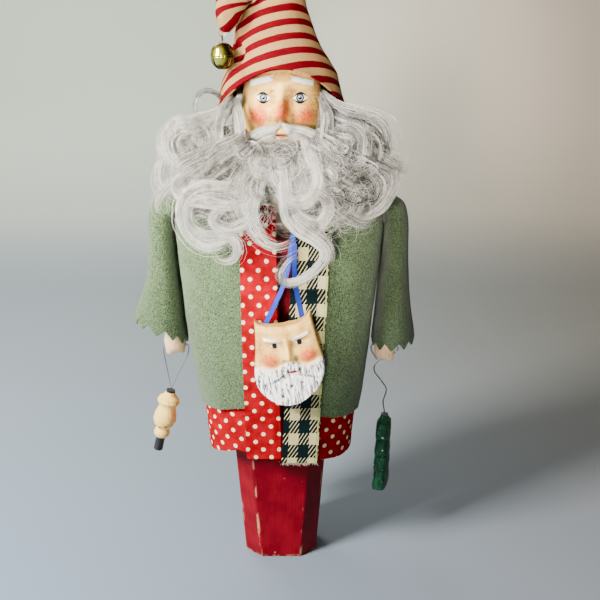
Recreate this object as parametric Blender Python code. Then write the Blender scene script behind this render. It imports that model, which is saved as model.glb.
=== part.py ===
"""A folk-craft tomte figurine: a tapered wooden post dressed in cloth, with swinging arms.

Metres, +Z up. The figure faces -Y and stands on z = 0, with the post's axis on the origin.
"left" and "right" are the viewer's, so left is -X.
"""

import math

import bmesh
import bpy
from mathutils import Matrix, Vector

MM = 0.001
GAP = 0.3 * MM  # kept between pieces that touch
BORE_GAP = 0.35 * MM  # radial room round a shank or a dowel

# Wooden post
POST_TOP = 220 * MM
POST_FOOT = (23.5 * MM, 20 * MM)  # half width, half depth at z = 0
POST_HEAD = (40.5 * MM, 29 * MM)  # half width, half depth at the top
POST_CHAMFER = 10.5 * MM
POST_EDGE = 0.9 * MM

# Shoulder yoke, its screws and the neck dowel
YOKE_HALF_LENGTH = 58 * MM
YOKE_HALF_DEPTH = 13 * MM
YOKE_HEIGHT = 14 * MM
YOKE_Z = POST_TOP + GAP
YOKE_SCREW_X = 20 * MM
SCREW_R = 1.8 * MM
SCREW_HEAD_R = 3.6 * MM
YOKE_SCREW_LENGTH = 36 * MM
NECK_R = 6 * MM
NECK_LOW, NECK_HIGH = 198 * MM, 282 * MM

# Arms: each swings about a screw square to a plane that leans in towards the feet
SHOULDER = Vector((72 * MM, 0, 228 * MM))
LEAN = math.radians(5)
ARM_HALF = (4.5 * MM, 7.5 * MM, 5.5 * MM)  # half thickness, half width at shoulder and at wrist
ARM_LENGTH = 71.5 * MM
HAND_OUT = 3 * MM  # how far the hand's middle sits outside the arm's
HAND_LOW, HAND_HIGH = 90 * MM, ARM_LENGTH + GAP
HAND_HOLE = 85 * MM
HAND_HOLE_R = 1.6 * MM
SLEEVE_INSIDE = -6.4 * MM
SLEEVE_WALL = 1.2 * MM
ARMHOLE_R = 10 * MM

# Head and hat
HEAD_CENTRE = Vector((2.5 * MM, 0, 294 * MM))
HEAD_HALF = (25 * MM, 25 * MM, 35 * MM)
HAT_WALL = 1.3 * MM

# Garments: (z, half width, half depth) of the coat's outer face, hem to neck
COAT = [
    (112 * MM, 50.5 * MM, 43 * MM),
    (150 * MM, 56.5 * MM, 45 * MM),
    (190 * MM, 61 * MM, 45 * MM),
    (212 * MM, 63 * MM, 42 * MM),
    (228 * MM, 64 * MM, 36 * MM),
    (236 * MM, 61.5 * MM, 26 * MM),
    (240 * MM, 52 * MM, 19 * MM),
    (242.5 * MM, 20 * MM, 15 * MM),
]
COAT_WALL = 1.4 * MM
COAT_EDGES = (-17 * MM, 18 * MM)  # x of the two front edges
ROBE = [
    (82 * MM, 46.5 * MM, 40 * MM),
    (112 * MM, 48 * MM, 40.6 * MM),
    (150 * MM, 54 * MM, 42.6 * MM),
    (190 * MM, 58.5 * MM, 42.6 * MM),
    (205 * MM, 60 * MM, 40.8 * MM),
]
ROBE_WALL = 1.0 * MM
ROBE_EDGES = (1 * MM, 12 * MM)
SQUARENESS = 3.0  # exponent of the garments' rounded-box sections
CHEST = [(79 * MM, 42 * MM)] + [(z, depth) for z, _, depth in COAT]  # z and depth down the front
STRIP = 0.9 * MM
BAND_X = (-20.3 * MM, -22.6 * MM)  # a strip's left edge at its foot and at its top
BAND_WIDTH = 21.6 * MM
SCARF_X = (0.6 * MM, 9 * MM)
SCARF_SHORT_X = (-33 * MM, -31 * MM)
SCARF_WIDTH = 23.6 * MM

# Pendant
APEX = Vector((8.7 * MM, -47.2 * MM, 221 * MM))
RIBBON_WIDTH = 3.2 * MM
MASK_TOP = Vector((2.6 * MM, -50.6 * MM, 178.6 * MM))  # middle of its upper edge, at the back
MASK_TILT = math.radians(10)  # its right corner hangs higher
MASK_HEIGHT = 54 * MM
MASK_OUTLINE = [  # share of the height from the top, half width, middle's shift to the left
    (0, 16.8, 0),
    (0.3, 18.8, 0.4),
    (0.55, 21, 1.2),
    (0.7, 20.6, 2),
    (0.82, 17.8, 2.7),
    (0.92, 12.6, 3.4),
    (1, 5, 4),
]
MASK_PLATE = 2.4 * MM
MASK_HINGE_RISE = 0.5 * MM  # the ribbon's stitches, above the plate's upper edge

# Bell
BELL_TOP = Vector((-32 * MM, -15 * MM, 333.6 * MM))
BELL_R = 7 * MM
BELL_HEIGHT = 15.5 * MM
BELL_WALL = 0.6 * MM

COLOURS = {
    "paint_red": ((0.42, 0.02, 0.03), 0.45, 0.0),
    "raw_wood": ((0.62, 0.42, 0.22), 0.6, 0.0),
    "toy_wood": ((0.78, 0.58, 0.32), 0.5, 0.0),
    "steel": ((0.45, 0.45, 0.47), 0.35, 1.0),
    "brass": ((0.78, 0.6, 0.2), 0.2, 1.0),
    "skin": ((0.78, 0.52, 0.33), 0.5, 0.0),
    "mask_clay": ((0.72, 0.5, 0.34), 0.4, 0.0),
    "mohair": ((0.72, 0.7, 0.66), 0.7, 0.0),
    "felt": ((0.2, 0.3, 0.17), 0.95, 0.0),
    "dotted": ((0.6, 0.02, 0.03), 0.85, 0.0),
    "plaid": ((0.16, 0.2, 0.18), 0.85, 0.0),
    "stripe": ((0.7, 0.3, 0.22), 0.85, 0.0),
    "satin": ((0.05, 0.1, 0.6), 0.35, 0.0),
    "black": ((0.01, 0.01, 0.01), 0.4, 0.0),
    "green": ((0.02, 0.18, 0.09), 0.5, 0.0),
    "fibrefill": ((0.85, 0.85, 0.83), 0.9, 0.0),
}


def clear_scene():
    for obj in list(bpy.data.objects):
        bpy.data.objects.remove(obj)


def material(name):
    found = bpy.data.materials.get(name)
    if found:
        return found
    colour, roughness, metallic = COLOURS[name]
    made = bpy.data.materials.new(name)
    made.use_nodes = True
    shader = made.node_tree.nodes["Principled BSDF"]
    shader.inputs["Base Color"].default_value = (*colour, 1)
    shader.inputs["Roughness"].default_value = roughness
    shader.inputs["Metallic"].default_value = metallic
    return made


def mesh_object(name, bm, mat, sharp=30):
    """An object from a bmesh in world coordinates, normals out and round faces smooth."""
    bmesh.ops.recalc_face_normals(bm, faces=bm.faces)
    if bm.calc_volume(signed=True) < 0:
        bmesh.ops.reverse_faces(bm, faces=bm.faces)
    mesh = bpy.data.meshes.new(name)
    bm.to_mesh(mesh)
    bm.free()
    mesh.shade_smooth()
    mesh.set_sharp_from_angle(angle=math.radians(sharp))
    obj = bpy.data.objects.new(name, mesh)
    bpy.context.scene.collection.objects.link(obj)
    if mat:
        mesh.materials.append(material(mat))
    return obj


def loft(name, rings, mat, sharp=30):
    """One closed solid through rings of equal length, with a cap on the first and the last."""
    bm = bmesh.new()
    rows = [[bm.verts.new(p) for p in ring] for ring in rings]
    count = len(rings[0])
    for low, high in zip(rows, rows[1:]):
        for i in range(count):
            j = (i + 1) % count
            bm.faces.new((low[i], low[j], high[j], high[i]))
    bm.faces.new(rows[0][::-1])
    bm.faces.new(rows[-1])
    return mesh_object(name, bm, mat, sharp)


def turned(name, profile, mat, matrix=Matrix(), segments=20, closed=False):
    """A turned solid: profile holds (radius, height) pairs, spun about the local Z axis."""
    bm = bmesh.new()
    rows = []
    for r, h in profile:
        turns = [math.tau * i / segments for i in range(segments if r else 1)]
        rows.append([bm.verts.new((r * math.cos(t), r * math.sin(t), h)) for t in turns])
    for low, high in zip(rows, rows[1:] + rows[:1] if closed else rows[1:]):
        for i in range(segments):
            j = (i + 1) % segments
            corners = [low[i % len(low)], low[j % len(low)], high[j % len(high)], high[i % len(high)]]
            bm.faces.new(list(dict.fromkeys(corners)))
    bm.transform(matrix)
    return mesh_object(name, bm, mat)


def box(name, low, high, mat):
    bm = bmesh.new()
    middle = (Vector(low) + Vector(high)) / 2
    size = Vector(high) - Vector(low)
    bmesh.ops.create_cube(bm, size=1, matrix=Matrix.Translation(middle) @ Matrix.Diagonal((*size, 1)))
    return mesh_object(name, bm, mat)


def bevelled(obj, width, segments=2, angle=30):
    edge = obj.modifiers.new("edge", "BEVEL")
    edge.width = width
    edge.segments = segments
    edge.limit_method = "ANGLE"
    edge.angle_limit = math.radians(angle)
    return obj


def boolean(obj, other, operation="DIFFERENCE"):
    """A Boolean with a helper that the build leaves out."""
    change = obj.modifiers.new(other.name, "BOOLEAN")
    change.operation = operation
    change.object = other
    other.hide_render = True
    other.display_type = "WIRE"


def along(start, end):
    """The matrix that carries the local Z axis onto the line from start towards end."""
    turn = (Vector(end) - Vector(start)).to_track_quat("Z", "Y").to_matrix().to_4x4()
    return Matrix.Translation(start) @ turn


def rod(name, start, end, radius, mat, segments=16):
    length = (Vector(end) - Vector(start)).length
    profile = [(0, 0), (radius, 0), (radius, length), (0, length)]
    return turned(name, profile, mat, along(start, end), segments)


def drill(obj, start, end, radius):
    boolean(obj, rod(obj.name + "_drill", start, end, radius, None))


def wire(name, points, radius, mat, cyclic=False, sides=2):
    """A round wire through the points."""
    curve = bpy.data.curves.new(name, "CURVE")
    curve.dimensions = "3D"
    curve.bevel_depth = radius
    curve.bevel_resolution = sides
    curve.use_fill_caps = True
    spline = curve.splines.new("POLY")
    spline.points.add(len(points) - 1)
    for slot, point in zip(spline.points, points):
        slot.co = (*point, 1)
    spline.use_cyclic_u = cyclic
    curve.materials.append(material(mat))
    obj = bpy.data.objects.new(name, curve)
    bpy.context.scene.collection.objects.link(obj)
    return obj


def smooth_path(points, steps):
    """Points read from a Catmull-Rom curve through the given ones."""
    ends = [2 * points[0] - points[1], *points, 2 * points[-1] - points[-2]]
    out = []
    for a, b, c, d in zip(ends, ends[1:], ends[2:], ends[3:]):
        for i in range(steps):
            t = i / steps
            square, cube = 2 * a - 5 * b + 4 * c - d, 3 * b - a - 3 * c + d
            out.append(0.5 * (2 * b + (c - a) * t + square * t**2 + cube * t**3))
    return out + [points[-1]]


def between(table, z):
    """The other columns of a table of rows (z, ...), interpolated at z."""
    for low, high in zip(table, table[1:]):
        if z <= high[0]:
            t = max(0, (z - low[0]) / (high[0] - low[0]))
            return [p + (q - p) * t for p, q in zip(low[1:], high[1:])]
    return list(table[-1][1:])


def hinged(pivot, *objects):
    """Parents the pieces of one moving body to an empty on its joint."""
    empty = bpy.data.objects.new(objects[0].name + "_joint", None)
    empty.location = pivot
    bpy.context.scene.collection.objects.link(empty)
    for obj in objects:
        obj.parent = empty
        obj.matrix_parent_inverse = Matrix.Translation(-Vector(pivot))


# ---- the wooden core


def post_ring(z):
    share = z / POST_TOP
    w, d = (f + (h - f) * share for f, h in zip(POST_FOOT, POST_HEAD))
    c = POST_CHAMFER
    corners = [(w, d - c), (w - c, d), (c - w, d), (-w, d - c)]
    corners += [(-x, -y) for x, y in corners]
    return [Vector((x, y, z)) for x, y in corners]


def make_core():
    post = bevelled(loft("body_post", [post_ring(0), post_ring(POST_TOP)], "paint_red"), POST_EDGE)
    top = YOKE_Z + YOKE_HEIGHT
    yoke = box(
        "shoulder_yoke",
        (-YOKE_HALF_LENGTH, -YOKE_HALF_DEPTH, YOKE_Z),
        (YOKE_HALF_LENGTH, YOKE_HALF_DEPTH, top),
        "raw_wood",
    )
    bevelled(yoke, 2 * MM)
    rod("neck_dowel", (0, 0, NECK_LOW), (0, 0, NECK_HIGH), NECK_R, "raw_wood", 20)
    for piece in (post, yoke):
        drill(piece, (0, 0, NECK_LOW - GAP), (0, 0, NECK_HIGH), NECK_R + BORE_GAP)
    for side, sign in (("left", -1), ("right", 1)):
        place = Matrix.Translation((sign * YOKE_SCREW_X, 0, top - YOKE_SCREW_LENGTH))
        turned(f"yoke_screw_{side}", screw_profile(YOKE_SCREW_LENGTH, 0), "steel", place, 14)
        hole = turned(f"yoke_screw_hole_{side}", screw_profile(YOKE_SCREW_LENGTH, BORE_GAP), None, place, 14)
        boolean(post, hole)
        boolean(yoke, hole)
        inner, outer = shoulder_point(sign, -34 * MM, 0, 0), shoulder_point(sign, 0, 0, 0)
        boolean(yoke, rod(f"yoke_end_hole_{side}", inner, outer, SCREW_R + BORE_GAP, None))


def screw_profile(length, room):
    """A countersunk screw standing on its tip, or with room added, the hole for it."""
    shank, head = SCREW_R + room, SCREW_HEAD_R + room
    profile = [(0, -room), (shank, -room), (shank, length - 3 * MM), (head, length - 0.8 * MM)]
    above = length + (2 * MM if room else 0)
    return profile + [(head, above), (0, above)]


# ---- arms


def shoulder_point(sign, out, forward, down):
    """A point in an arm's own frame: out from the body, forward, and down along the hanging arm."""
    c, s = math.cos(LEAN), math.sin(LEAN)
    x = SHOULDER.x + c * out - s * down
    return Vector((sign * x, -forward, SHOULDER.z - s * out - c * down))


def oval(sign, out_low, out_high, half_forward, down, count=20, power=2.6):
    """A rounded-box ring across an arm."""
    middle, half = (out_low + out_high) / 2, (out_high - out_low) / 2
    ring = []
    for i in range(count):
        turn = math.tau * i / count
        c, s = math.cos(turn), math.sin(turn)
        u = middle + half * math.copysign(abs(c) ** (2 / power), c)
        v = half_forward * math.copysign(abs(s) ** (2 / power), s)
        ring.append(shoulder_point(sign, u, v, down))
    return ring


def make_sleeve(side, sign, length, flare):
    """A felt sleeve: open at the wrist, closed over the shoulder, with an armhole on its inner face."""
    sections = [  # down the arm, outer edge, half depth
        (-12 * MM, 3 * MM, 8 * MM),
        (-9 * MM, 7 * MM, 13 * MM),
        (0, 9 * MM, 16 * MM),
        (0.45 * length, 9 * MM + 0.4 * flare, 19 * MM),
        (length, 9 * MM + flare, 22 * MM),
    ]
    outer = [oval(sign, SLEEVE_INSIDE, high, half, down) for down, high, half in sections]
    wall = SLEEVE_WALL
    inner = [
        oval(sign, SLEEVE_INSIDE + wall, high - wall, half - wall, max(down, -10.6 * MM))
        for down, high, half in sections[1:]
    ]
    inner[0] = oval(sign, SLEEVE_INSIDE + wall, 5.5 * MM, 11 * MM, -8.6 * MM)
    sleeve = loft(f"sleeve_{side}", inner + outer[::-1], "felt")
    drill(sleeve, shoulder_point(sign, -9 * MM, 0, 0), shoulder_point(sign, -4.9 * MM, 0, 0), ARMHOLE_R)
    return sleeve


def make_arm(side, sign):
    thick, top, wrist = ARM_HALF
    stations = [(-6.5, 0.62), (-5, 0.85), (0, 1), (40, 0.9), (71.5, wrist / top)]
    rings = [
        oval(sign, -thick * min(1, k + 0.1), thick * min(1, k + 0.1), top * k, down * MM, 16, 4)
        for down, k in stations
    ]
    arm = loft(f"arm_{side}", rings, "paint_red")
    drill(arm, shoulder_point(sign, -8 * MM, 0, 0), shoulder_point(sign, 8 * MM, 0, 0), SCREW_R + BORE_GAP)

    fist = [(HAND_HIGH, 4.6, 4.8), (75 * MM, 6, 6.6), (80 * MM, 7, 8.4), (86 * MM, 6.6, 8), (HAND_LOW, 4, 5)]
    rings = [oval(sign, HAND_OUT - a * MM, HAND_OUT + a * MM, b * MM, down, 16, 2.4) for down, a, b in fist]
    hand = loft(f"hand_{side}", rings, "raw_wood")
    low, high = (shoulder_point(sign, HAND_OUT + k * MM, 0, HAND_HOLE) for k in (-10, 10))
    drill(hand, low, high, HAND_HOLE_R)

    start = shoulder_point(sign, -13.1 * MM, 0, 0)
    spacer = rod(f"shoulder_spacer_{side}", start, shoulder_point(sign, -4.8 * MM, 0, 0), 5 * MM, "raw_wood")
    drill(spacer, shoulder_point(sign, -20 * MM, 0, 0), shoulder_point(sign, 0, 0, 0), SCREW_R + BORE_GAP)
    reach = 36 * MM
    profile = [
        (0, 0),
        (SCREW_R, 0),
        (SCREW_R, reach),
        (SCREW_HEAD_R, reach),
        (SCREW_HEAD_R * 0.8, reach + 1.6 * MM),
        (0, reach + 2.2 * MM),
    ]
    head = shoulder_point(sign, thick + GAP, 0, 0)
    tip = shoulder_point(sign, thick + GAP - reach, 0, 0)
    turned(f"shoulder_screw_{side}", profile, "steel", along(tip, head), 14)
    return arm, hand


# ---- the toys that hang from the hands


def make_peg_toy():
    """A turned wooden peg with black ends, hung on a wire loop through the left hand."""
    top, foot = Vector((-71.8 * MM, 0, 112 * MM)), Vector((-82.0 * MM, 0, 69.6 * MM))
    matrix = along(foot, top)
    cap_end = 9.6
    peg = [
        (0, cap_end),
        (3.6, cap_end),
        (5.1, 11.5),
        (5.2, 13.5),
        (4.1, 16),
        (6.4, 19),
        (7.5, 22.5),
        (7.1, 26.5),
        (5.6, 31),
        (5.8, 33),
        (7.4, 35.5),
        (6.6, 38),
        (3.9, 40),
        (3.3, 42),
        (0, 42),
    ]
    body = turned("peg_toy_body", [(r * MM, h * MM) for r, h in peg], "toy_wood", matrix, 24)
    high = (cap_end - 0.3) * MM
    cap = [(0, 0), (2.7 * MM, 0), (3.05 * MM, 0.5 * MM), (2.9 * MM, high), (0, high)]
    cap = turned("peg_toy_cap", cap, "black", matrix, 20)
    disc = [(0, 42.3 * MM), (2.9 * MM, 42.3 * MM), (2.9 * MM, 43.7 * MM), (0, 43.7 * MM)]
    disc = turned("peg_toy_disc", disc, "black", matrix, 20)

    hook = matrix @ Vector((0, 0, 44.6 * MM))
    reach = 8.4 * MM
    loop = [
        hook,
        shoulder_point(-1, HAND_OUT - reach + 1.6 * MM, 0, 93 * MM),
        shoulder_point(-1, HAND_OUT - reach, 0, 87.5 * MM),
        shoulder_point(-1, HAND_OUT - reach + 0.8 * MM, 0, 85 * MM),
        shoulder_point(-1, HAND_OUT, 0, HAND_HOLE - 0.6 * MM),
        shoulder_point(-1, HAND_OUT + reach - 0.8 * MM, 0, 85 * MM),
        shoulder_point(-1, HAND_OUT + reach, 0, 88.5 * MM),
    ]
    hanger = wire("peg_toy_wire", loop, 0.35 * MM, "steel", cyclic=True, sides=1)
    return body, cap, disc, hanger


def make_tree_toy():
    """A fir tree sawn from board and seen on edge, hung on a bent wire from the right hand."""
    foot_z, top_z = 44 * MM, 95 * MM
    tiers = [(0, 12.5), (13.9, 11.2), (23.9, 9.8), (34.3, 8.2)]  # height of each tier's foot, its half spread
    crown = 51
    outline = []
    for (low, spread), (high, _) in zip(tiers, tiers[1:] + [(crown, 0)]):
        outline += [(spread, low), (spread * 0.72 if high < crown else 3.2, high)]
    outline = outline + [(-y, z) for y, z in reversed(outline)]
    bm = bmesh.new()
    face = bm.faces.new([bm.verts.new((0, y * MM, z * MM)) for y, z in outline])
    thick = 8.4 * MM
    grown = bmesh.ops.extrude_face_region(bm, geom=[face])
    moved = [v for v in grown["geom"] if isinstance(v, bmesh.types.BMVert)]
    bmesh.ops.translate(bm, verts=moved, vec=(thick, 0, 0))
    turn = Matrix.Rotation(math.radians(1.8), 4, "Y") @ Matrix.Rotation(math.radians(-14), 4, "Z")
    bm.transform(Matrix.Translation((67 * MM, 0, foot_z)) @ turn @ Matrix.Translation((-thick / 2, 0, 0)))
    tree = bevelled(mesh_object("tree_toy_board", bm, "green"), 0.7 * MM, 2)
    side = 0.6 * MM
    path = [
        shoulder_point(1, HAND_OUT - 4 * MM, side, 95 * MM),
        shoulder_point(1, HAND_OUT - 8.2 * MM, side, 89 * MM),
        shoulder_point(1, HAND_OUT - 7.8 * MM, side / 2, 85.2 * MM),
        shoulder_point(1, HAND_OUT, 0, HAND_HOLE - 0.6 * MM),
        shoulder_point(1, HAND_OUT + 7.8 * MM, -side / 2, 85.2 * MM),
        shoulder_point(1, HAND_OUT + 8.0 * MM, -side, 89 * MM),
        shoulder_point(1, HAND_OUT - 3 * MM, -side, 97 * MM),
        Vector((61 * MM, -side, 126 * MM)),
        Vector((65.5 * MM, 0, 119 * MM)),
        Vector((69.5 * MM, side, 112 * MM)),
        Vector((67.5 * MM, 0, 104 * MM)),
        Vector((68.6 * MM, 0, top_z + 1.2 * MM)),
    ]
    hanger = wire("tree_toy_wire", smooth_path(path, 4), 0.45 * MM, "steel", sides=1)
    return tree, hanger


# ---- head, hair and hat


def head_ring(z, count=28):
    """A ring of the head at a height above its centre, with the brow, nose and chin raised."""
    a, b, c = HEAD_HALF
    across = math.sqrt(max(0, 1 - (z / c) ** 2))
    jaw = 1 - 0.12 * max(0, -z / c)
    ring = []
    for i in range(count):
        turn = math.tau * i / count
        x, y = a * across * jaw * math.cos(turn), b * across * math.sin(turn)
        front = max(0, -math.sin(turn))
        nose_height = max(0, 1 - abs(z + 1.5 * MM) / (9 * MM))
        nose = 9 * MM * nose_height * max(0, 1 - abs(x) / (7 * MM)) * (front > 0.5)
        ring.append(HEAD_CENTRE + Vector((x, y - nose, z)))
    return ring


def make_head():
    c = HEAD_HALF[2]
    heights = [-0.995, -0.93, -0.8, -0.6, -0.42, -0.3, -0.2, -0.05, 0.08, 0.22, 0.45, 0.65, 0.82, 0.94, 0.995]
    head = loft("head", [head_ring(k * c) for k in heights], "skin", 50)
    drill(head, (0, 0, 250 * MM), (0, 0, NECK_HIGH + GAP), NECK_R + BORE_GAP)


def ellipsoid(name, centre, half, mat, segments=16):
    bm = bmesh.new()
    matrix = Matrix.Translation(centre) @ Matrix.Diagonal((*half, 1))
    bmesh.ops.create_uvsphere(bm, u_segments=segments, v_segments=segments // 2, radius=1, matrix=matrix)
    return mesh_object(name, bm, mat, 60)


def slab(name, sections, mat):
    """A flat mass of hair: rows of (z, low x, high x, front y, back y) with rounded corners."""
    rings = []
    for z, low, high, front, back in sections:
        ring = []
        for i in range(18):
            turn = math.tau * i / 18
            c, s = math.cos(turn), math.sin(turn)
            x = (low + high) / 2 + (high - low) / 2 * math.copysign(abs(c) ** 0.7, c)
            y = (front + back) / 2 + (back - front) / 2 * math.copysign(abs(s) ** 0.5, s)
            ring.append(Vector((x * MM, y * MM, z * MM)))
        rings.append(ring)
    return loft(name, rings, mat, 60)


def make_hair():
    beard = [
        (222, -36, 36, -59, -53),
        (228, -54, 52, -62, -52),
        (240, -59, 58, -66, -50),
        (254, -58, 57, -63, -38),
        (266, -40, 44, -56, -31),
        (277, -22, 27, -44, -29),
    ]
    slab("beard", beard, "mohair")
    moustache = [(279, -18, 23, -36, -29), (282, -20, 25, -37, -28.5), (285, -10, 15, -34, -29)]
    slab("moustache", moustache, "mohair")
    ellipsoid("hair_left", (-46 * MM, -6 * MM, 269 * MM), (21 * MM, 23 * MM, 21 * MM), "mohair")
    ellipsoid("hair_right", (50 * MM, -6 * MM, 268 * MM), (20 * MM, 23 * MM, 20 * MM), "mohair")
    rings = []
    for z, grow in ((252, 0), (262, 3), (278, 4), (292, 2)):
        arc = [math.radians(a) for a in range(35, 146, 11)]
        ring = [(27.5 + grow, 28.5 + grow, a) for a in arc] + [(26, 26.2, a) for a in reversed(arc)]
        points = [Vector((r * math.cos(a), q * math.sin(a), z)) * MM for r, q, a in ring]
        rings.append([Vector((HEAD_CENTRE.x, 0, 0)) + point for point in points])
    loft("hair_back", rings, "mohair", 60)


HAT_PATH = [  # centre of each section, half width, half depth
    ((1.5, 3, 311), 33, 29),
    ((2.3, 3, 328), 25.5, 23.5),
    ((3, 2.5, 345), 19, 18),
    ((2, 1, 358), 15, 14),
    ((-3, -2, 366), 11.5, 12),
    ((-11, -6, 369), 9.5, 11),
    ((-18.5, -10, 364), 9.2, 9.5),
    ((-24, -12.5, 354), 8.2, 8.5),
    ((-29, -14, 345), 5.6, 6),
    ((-31.5, -15, 339.5), 2.2, 2.6),
]
HAT_SIDES = 24
BRIM_HALF = (38 * MM, 34 * MM)


def brim_ring(shrink):
    """The hat's edge: high over the brow, low at the nape and a little lower on the left."""
    ring = []
    for i in range(HAT_SIDES):
        turn = math.tau * i / HAT_SIDES
        c, s = math.cos(turn), math.sin(turn)
        z = 296 * MM + 4 * MM * c + (18 * MM if s < 0 else 8 * MM) * (s * s) * (1 if s < 0 else -1)
        half_width, half_depth = (half - shrink for half in BRIM_HALF)
        ring.append(Vector((1.2 * MM + half_width * c, 3 * MM + half_depth * s, z)))
    return ring


def hat_ring(index, shrink=0.0):
    """A section of the hat square to its path, which lies near the XZ plane."""
    points = [Vector(row[0]) * MM for row in HAT_PATH]
    before, after = points[max(index - 1, 0)], points[min(index + 1, len(points) - 1)]
    way = after - before if index else Vector((0, 0, 1))
    side = Vector((way.z, 0, -way.x)).normalized()
    _, half_width, half_depth = HAT_PATH[index]
    ring = []
    for i in range(HAT_SIDES):
        turn = math.tau * i / HAT_SIDES
        ring.append(
            points[index]
            + side * (half_width * MM - shrink) * math.cos(turn)
            + Vector((0, (half_depth * MM - shrink) * math.sin(turn), 0))
        )
    return ring


def make_hat():
    inside = [hat_ring(2, 2 * HAT_WALL), hat_ring(1, HAT_WALL), hat_ring(0, HAT_WALL), brim_ring(HAT_WALL)]
    outside = [brim_ring(0)] + [hat_ring(i) for i in range(len(HAT_PATH))]
    loft("hat_cloth", inside + outside, "stripe", 50)
    rings = []
    for z, radius in ((331.5, 17), (335, 19), (341, 16.5), (344, 12)):
        turns = [math.tau * i / 16 for i in range(16)]
        rings.append([Vector((2.6 + radius * math.cos(t), 2.6 + radius * math.sin(t), z)) * MM for t in turns])
    loft("hat_stuffing", rings, "fibrefill")


def make_bell():
    """A jingle bell of two pressed cups with a pellet, hung from a thread at the hat's tip."""
    half = BELL_HEIGHT / 2
    centre = BELL_TOP - Vector((0, 0, half))

    def cup(sign):
        """A cup's outer and inner wall, from the equator to the pole; the inner wall comes back."""
        outer, inner = [], []
        for i in range(7):
            turn = math.pi / 2 * i / 6
            height = GAP / 2 + (half - GAP / 2) * math.sin(turn)
            outer.append((BELL_R * math.cos(turn) ** 0.8, sign * height))
            thin = (BELL_R - BELL_WALL) * math.cos(turn) ** 0.8
            inner.append((thin, sign * max(GAP / 2, height - BELL_WALL * math.sin(turn))))
        outer[-1], inner[-1] = (0, sign * half), (0, sign * (half - BELL_WALL))
        lip = (BELL_R + 0.5 * MM, outer[0][1]), (BELL_R + 0.5 * MM, sign * 0.9 * MM)
        return inner[::-1] + [lip[0], lip[1]] + outer[1:]

    place = Matrix.Translation(centre)
    upper = turned("bell_cup_upper", cup(1), "brass", place, 20)
    lower = turned("bell_cup_lower", cup(-1), "brass", place, 20)
    slot = box(
        "bell_slot",
        centre + Vector((-0.7 * MM, -BELL_R * 1.2, -half * 1.3)),
        centre + Vector((0.7 * MM, BELL_R * 1.2, -2 * MM)),
        None,
    )
    boolean(lower, slot)
    pellet = ellipsoid("bell_pellet", centre - Vector((0, 0, half - 3.3 * MM)), (2 * MM,) * 3, "steel", 12)
    eye_r = 1.5 * MM
    eye = BELL_TOP + Vector((0, 0, GAP + 0.35 * MM + eye_r))
    turns = [math.tau * i / 12 for i in range(12)]
    eye_points = [eye + Vector((0, eye_r * math.cos(t), eye_r * math.sin(t))) for t in turns]
    ring = wire("bell_eye", eye_points, 0.35 * MM, "brass", cyclic=True, sides=1)
    thread_r = 1.35 * MM
    thread = eye + Vector((0.1 * MM, 0, eye_r + 0.25 * MM))
    loop = [thread + Vector((thread_r * math.cos(t), 0, thread_r * math.sin(t))) for t in turns]
    wire("bell_thread", loop, 0.25 * MM, "fibrefill", cyclic=True, sides=1)
    hinged(eye + Vector((0, 0, eye_r)), upper, lower, ring)
    hinged(centre, pellet)


# ---- garments


def arc(z, half_width, half_depth, start, end, count):
    """Points of a rounded-box section from angle start to end; angle 0 is +X and -90 degrees the front."""
    ring = []
    for i in range(count):
        turn = start + (end - start) * i / (count - 1)
        c, s = math.cos(turn), math.sin(turn)
        x = half_width * math.copysign(abs(c) ** (2 / SQUARENESS), c)
        y = half_depth * math.copysign(abs(s) ** (2 / SQUARENESS), s)
        ring.append(Vector((x, y, z)))
    return ring


def edge_angle(x, half_width):
    """The angle of the front point at that x, kept within two thirds of the half width."""
    share = max(-0.66, min(0.66, x / half_width))
    return -math.acos(math.copysign(abs(share) ** (SQUARENESS / 2), share))


def garment(name, table, wall, first, last, mat, count=12):
    """A panel of cloth between two edges, each given as an angle or as the x of a front edge."""
    rings = []
    for z, half_width, half_depth in table:
        ends = [edge_angle(-e[1], half_width) if e[0] == "x" else e[1] for e in (first, last)]
        ends = [-math.pi - a if e[0] == "x" else a for a, e in zip(ends, (first, last))]
        outer = arc(z, half_width, half_depth, *ends, count)
        lift = wall if z > 239 * MM else 0
        inner = arc(z - lift, half_width - wall, half_depth - wall, *ends, count)
        rings.append(outer + inner[::-1])
    return loft(name, rings, mat, 40)


def make_garments():
    seam = 0.008  # radians left open at a side seam
    left, right = ("x", COAT_EDGES[0]), ("x", COAT_EDGES[1])
    panels = [
        garment("coat_back", COAT, COAT_WALL, ("angle", seam), ("angle", math.pi - seam), "felt", 18),
        garment("coat_front_left", COAT, COAT_WALL, ("angle", -math.pi + seam), left, "felt", 10),
        garment("coat_front_right", COAT, COAT_WALL, right, ("angle", -seam), "felt", 10),
    ]
    for side, sign in (("left", -1), ("right", 1)):
        for panel in panels:
            if panel.name != f"coat_front_{'right' if sign < 0 else 'left'}":
                hole = rod(
                    f"{panel.name}_armhole_{side}",
                    shoulder_point(sign, -13 * MM, 0, 0),
                    shoulder_point(sign, -2 * MM, 0, 0),
                    ARMHOLE_R,
                    None,
                )
                boolean(panel, hole)
    low, high = ROBE_EDGES
    long_way = math.tau + edge_angle(low, ROBE[2][1])
    garment("robe", ROBE, ROBE_WALL, ("x", high), ("angle", long_way), "dotted", 40)


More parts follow.
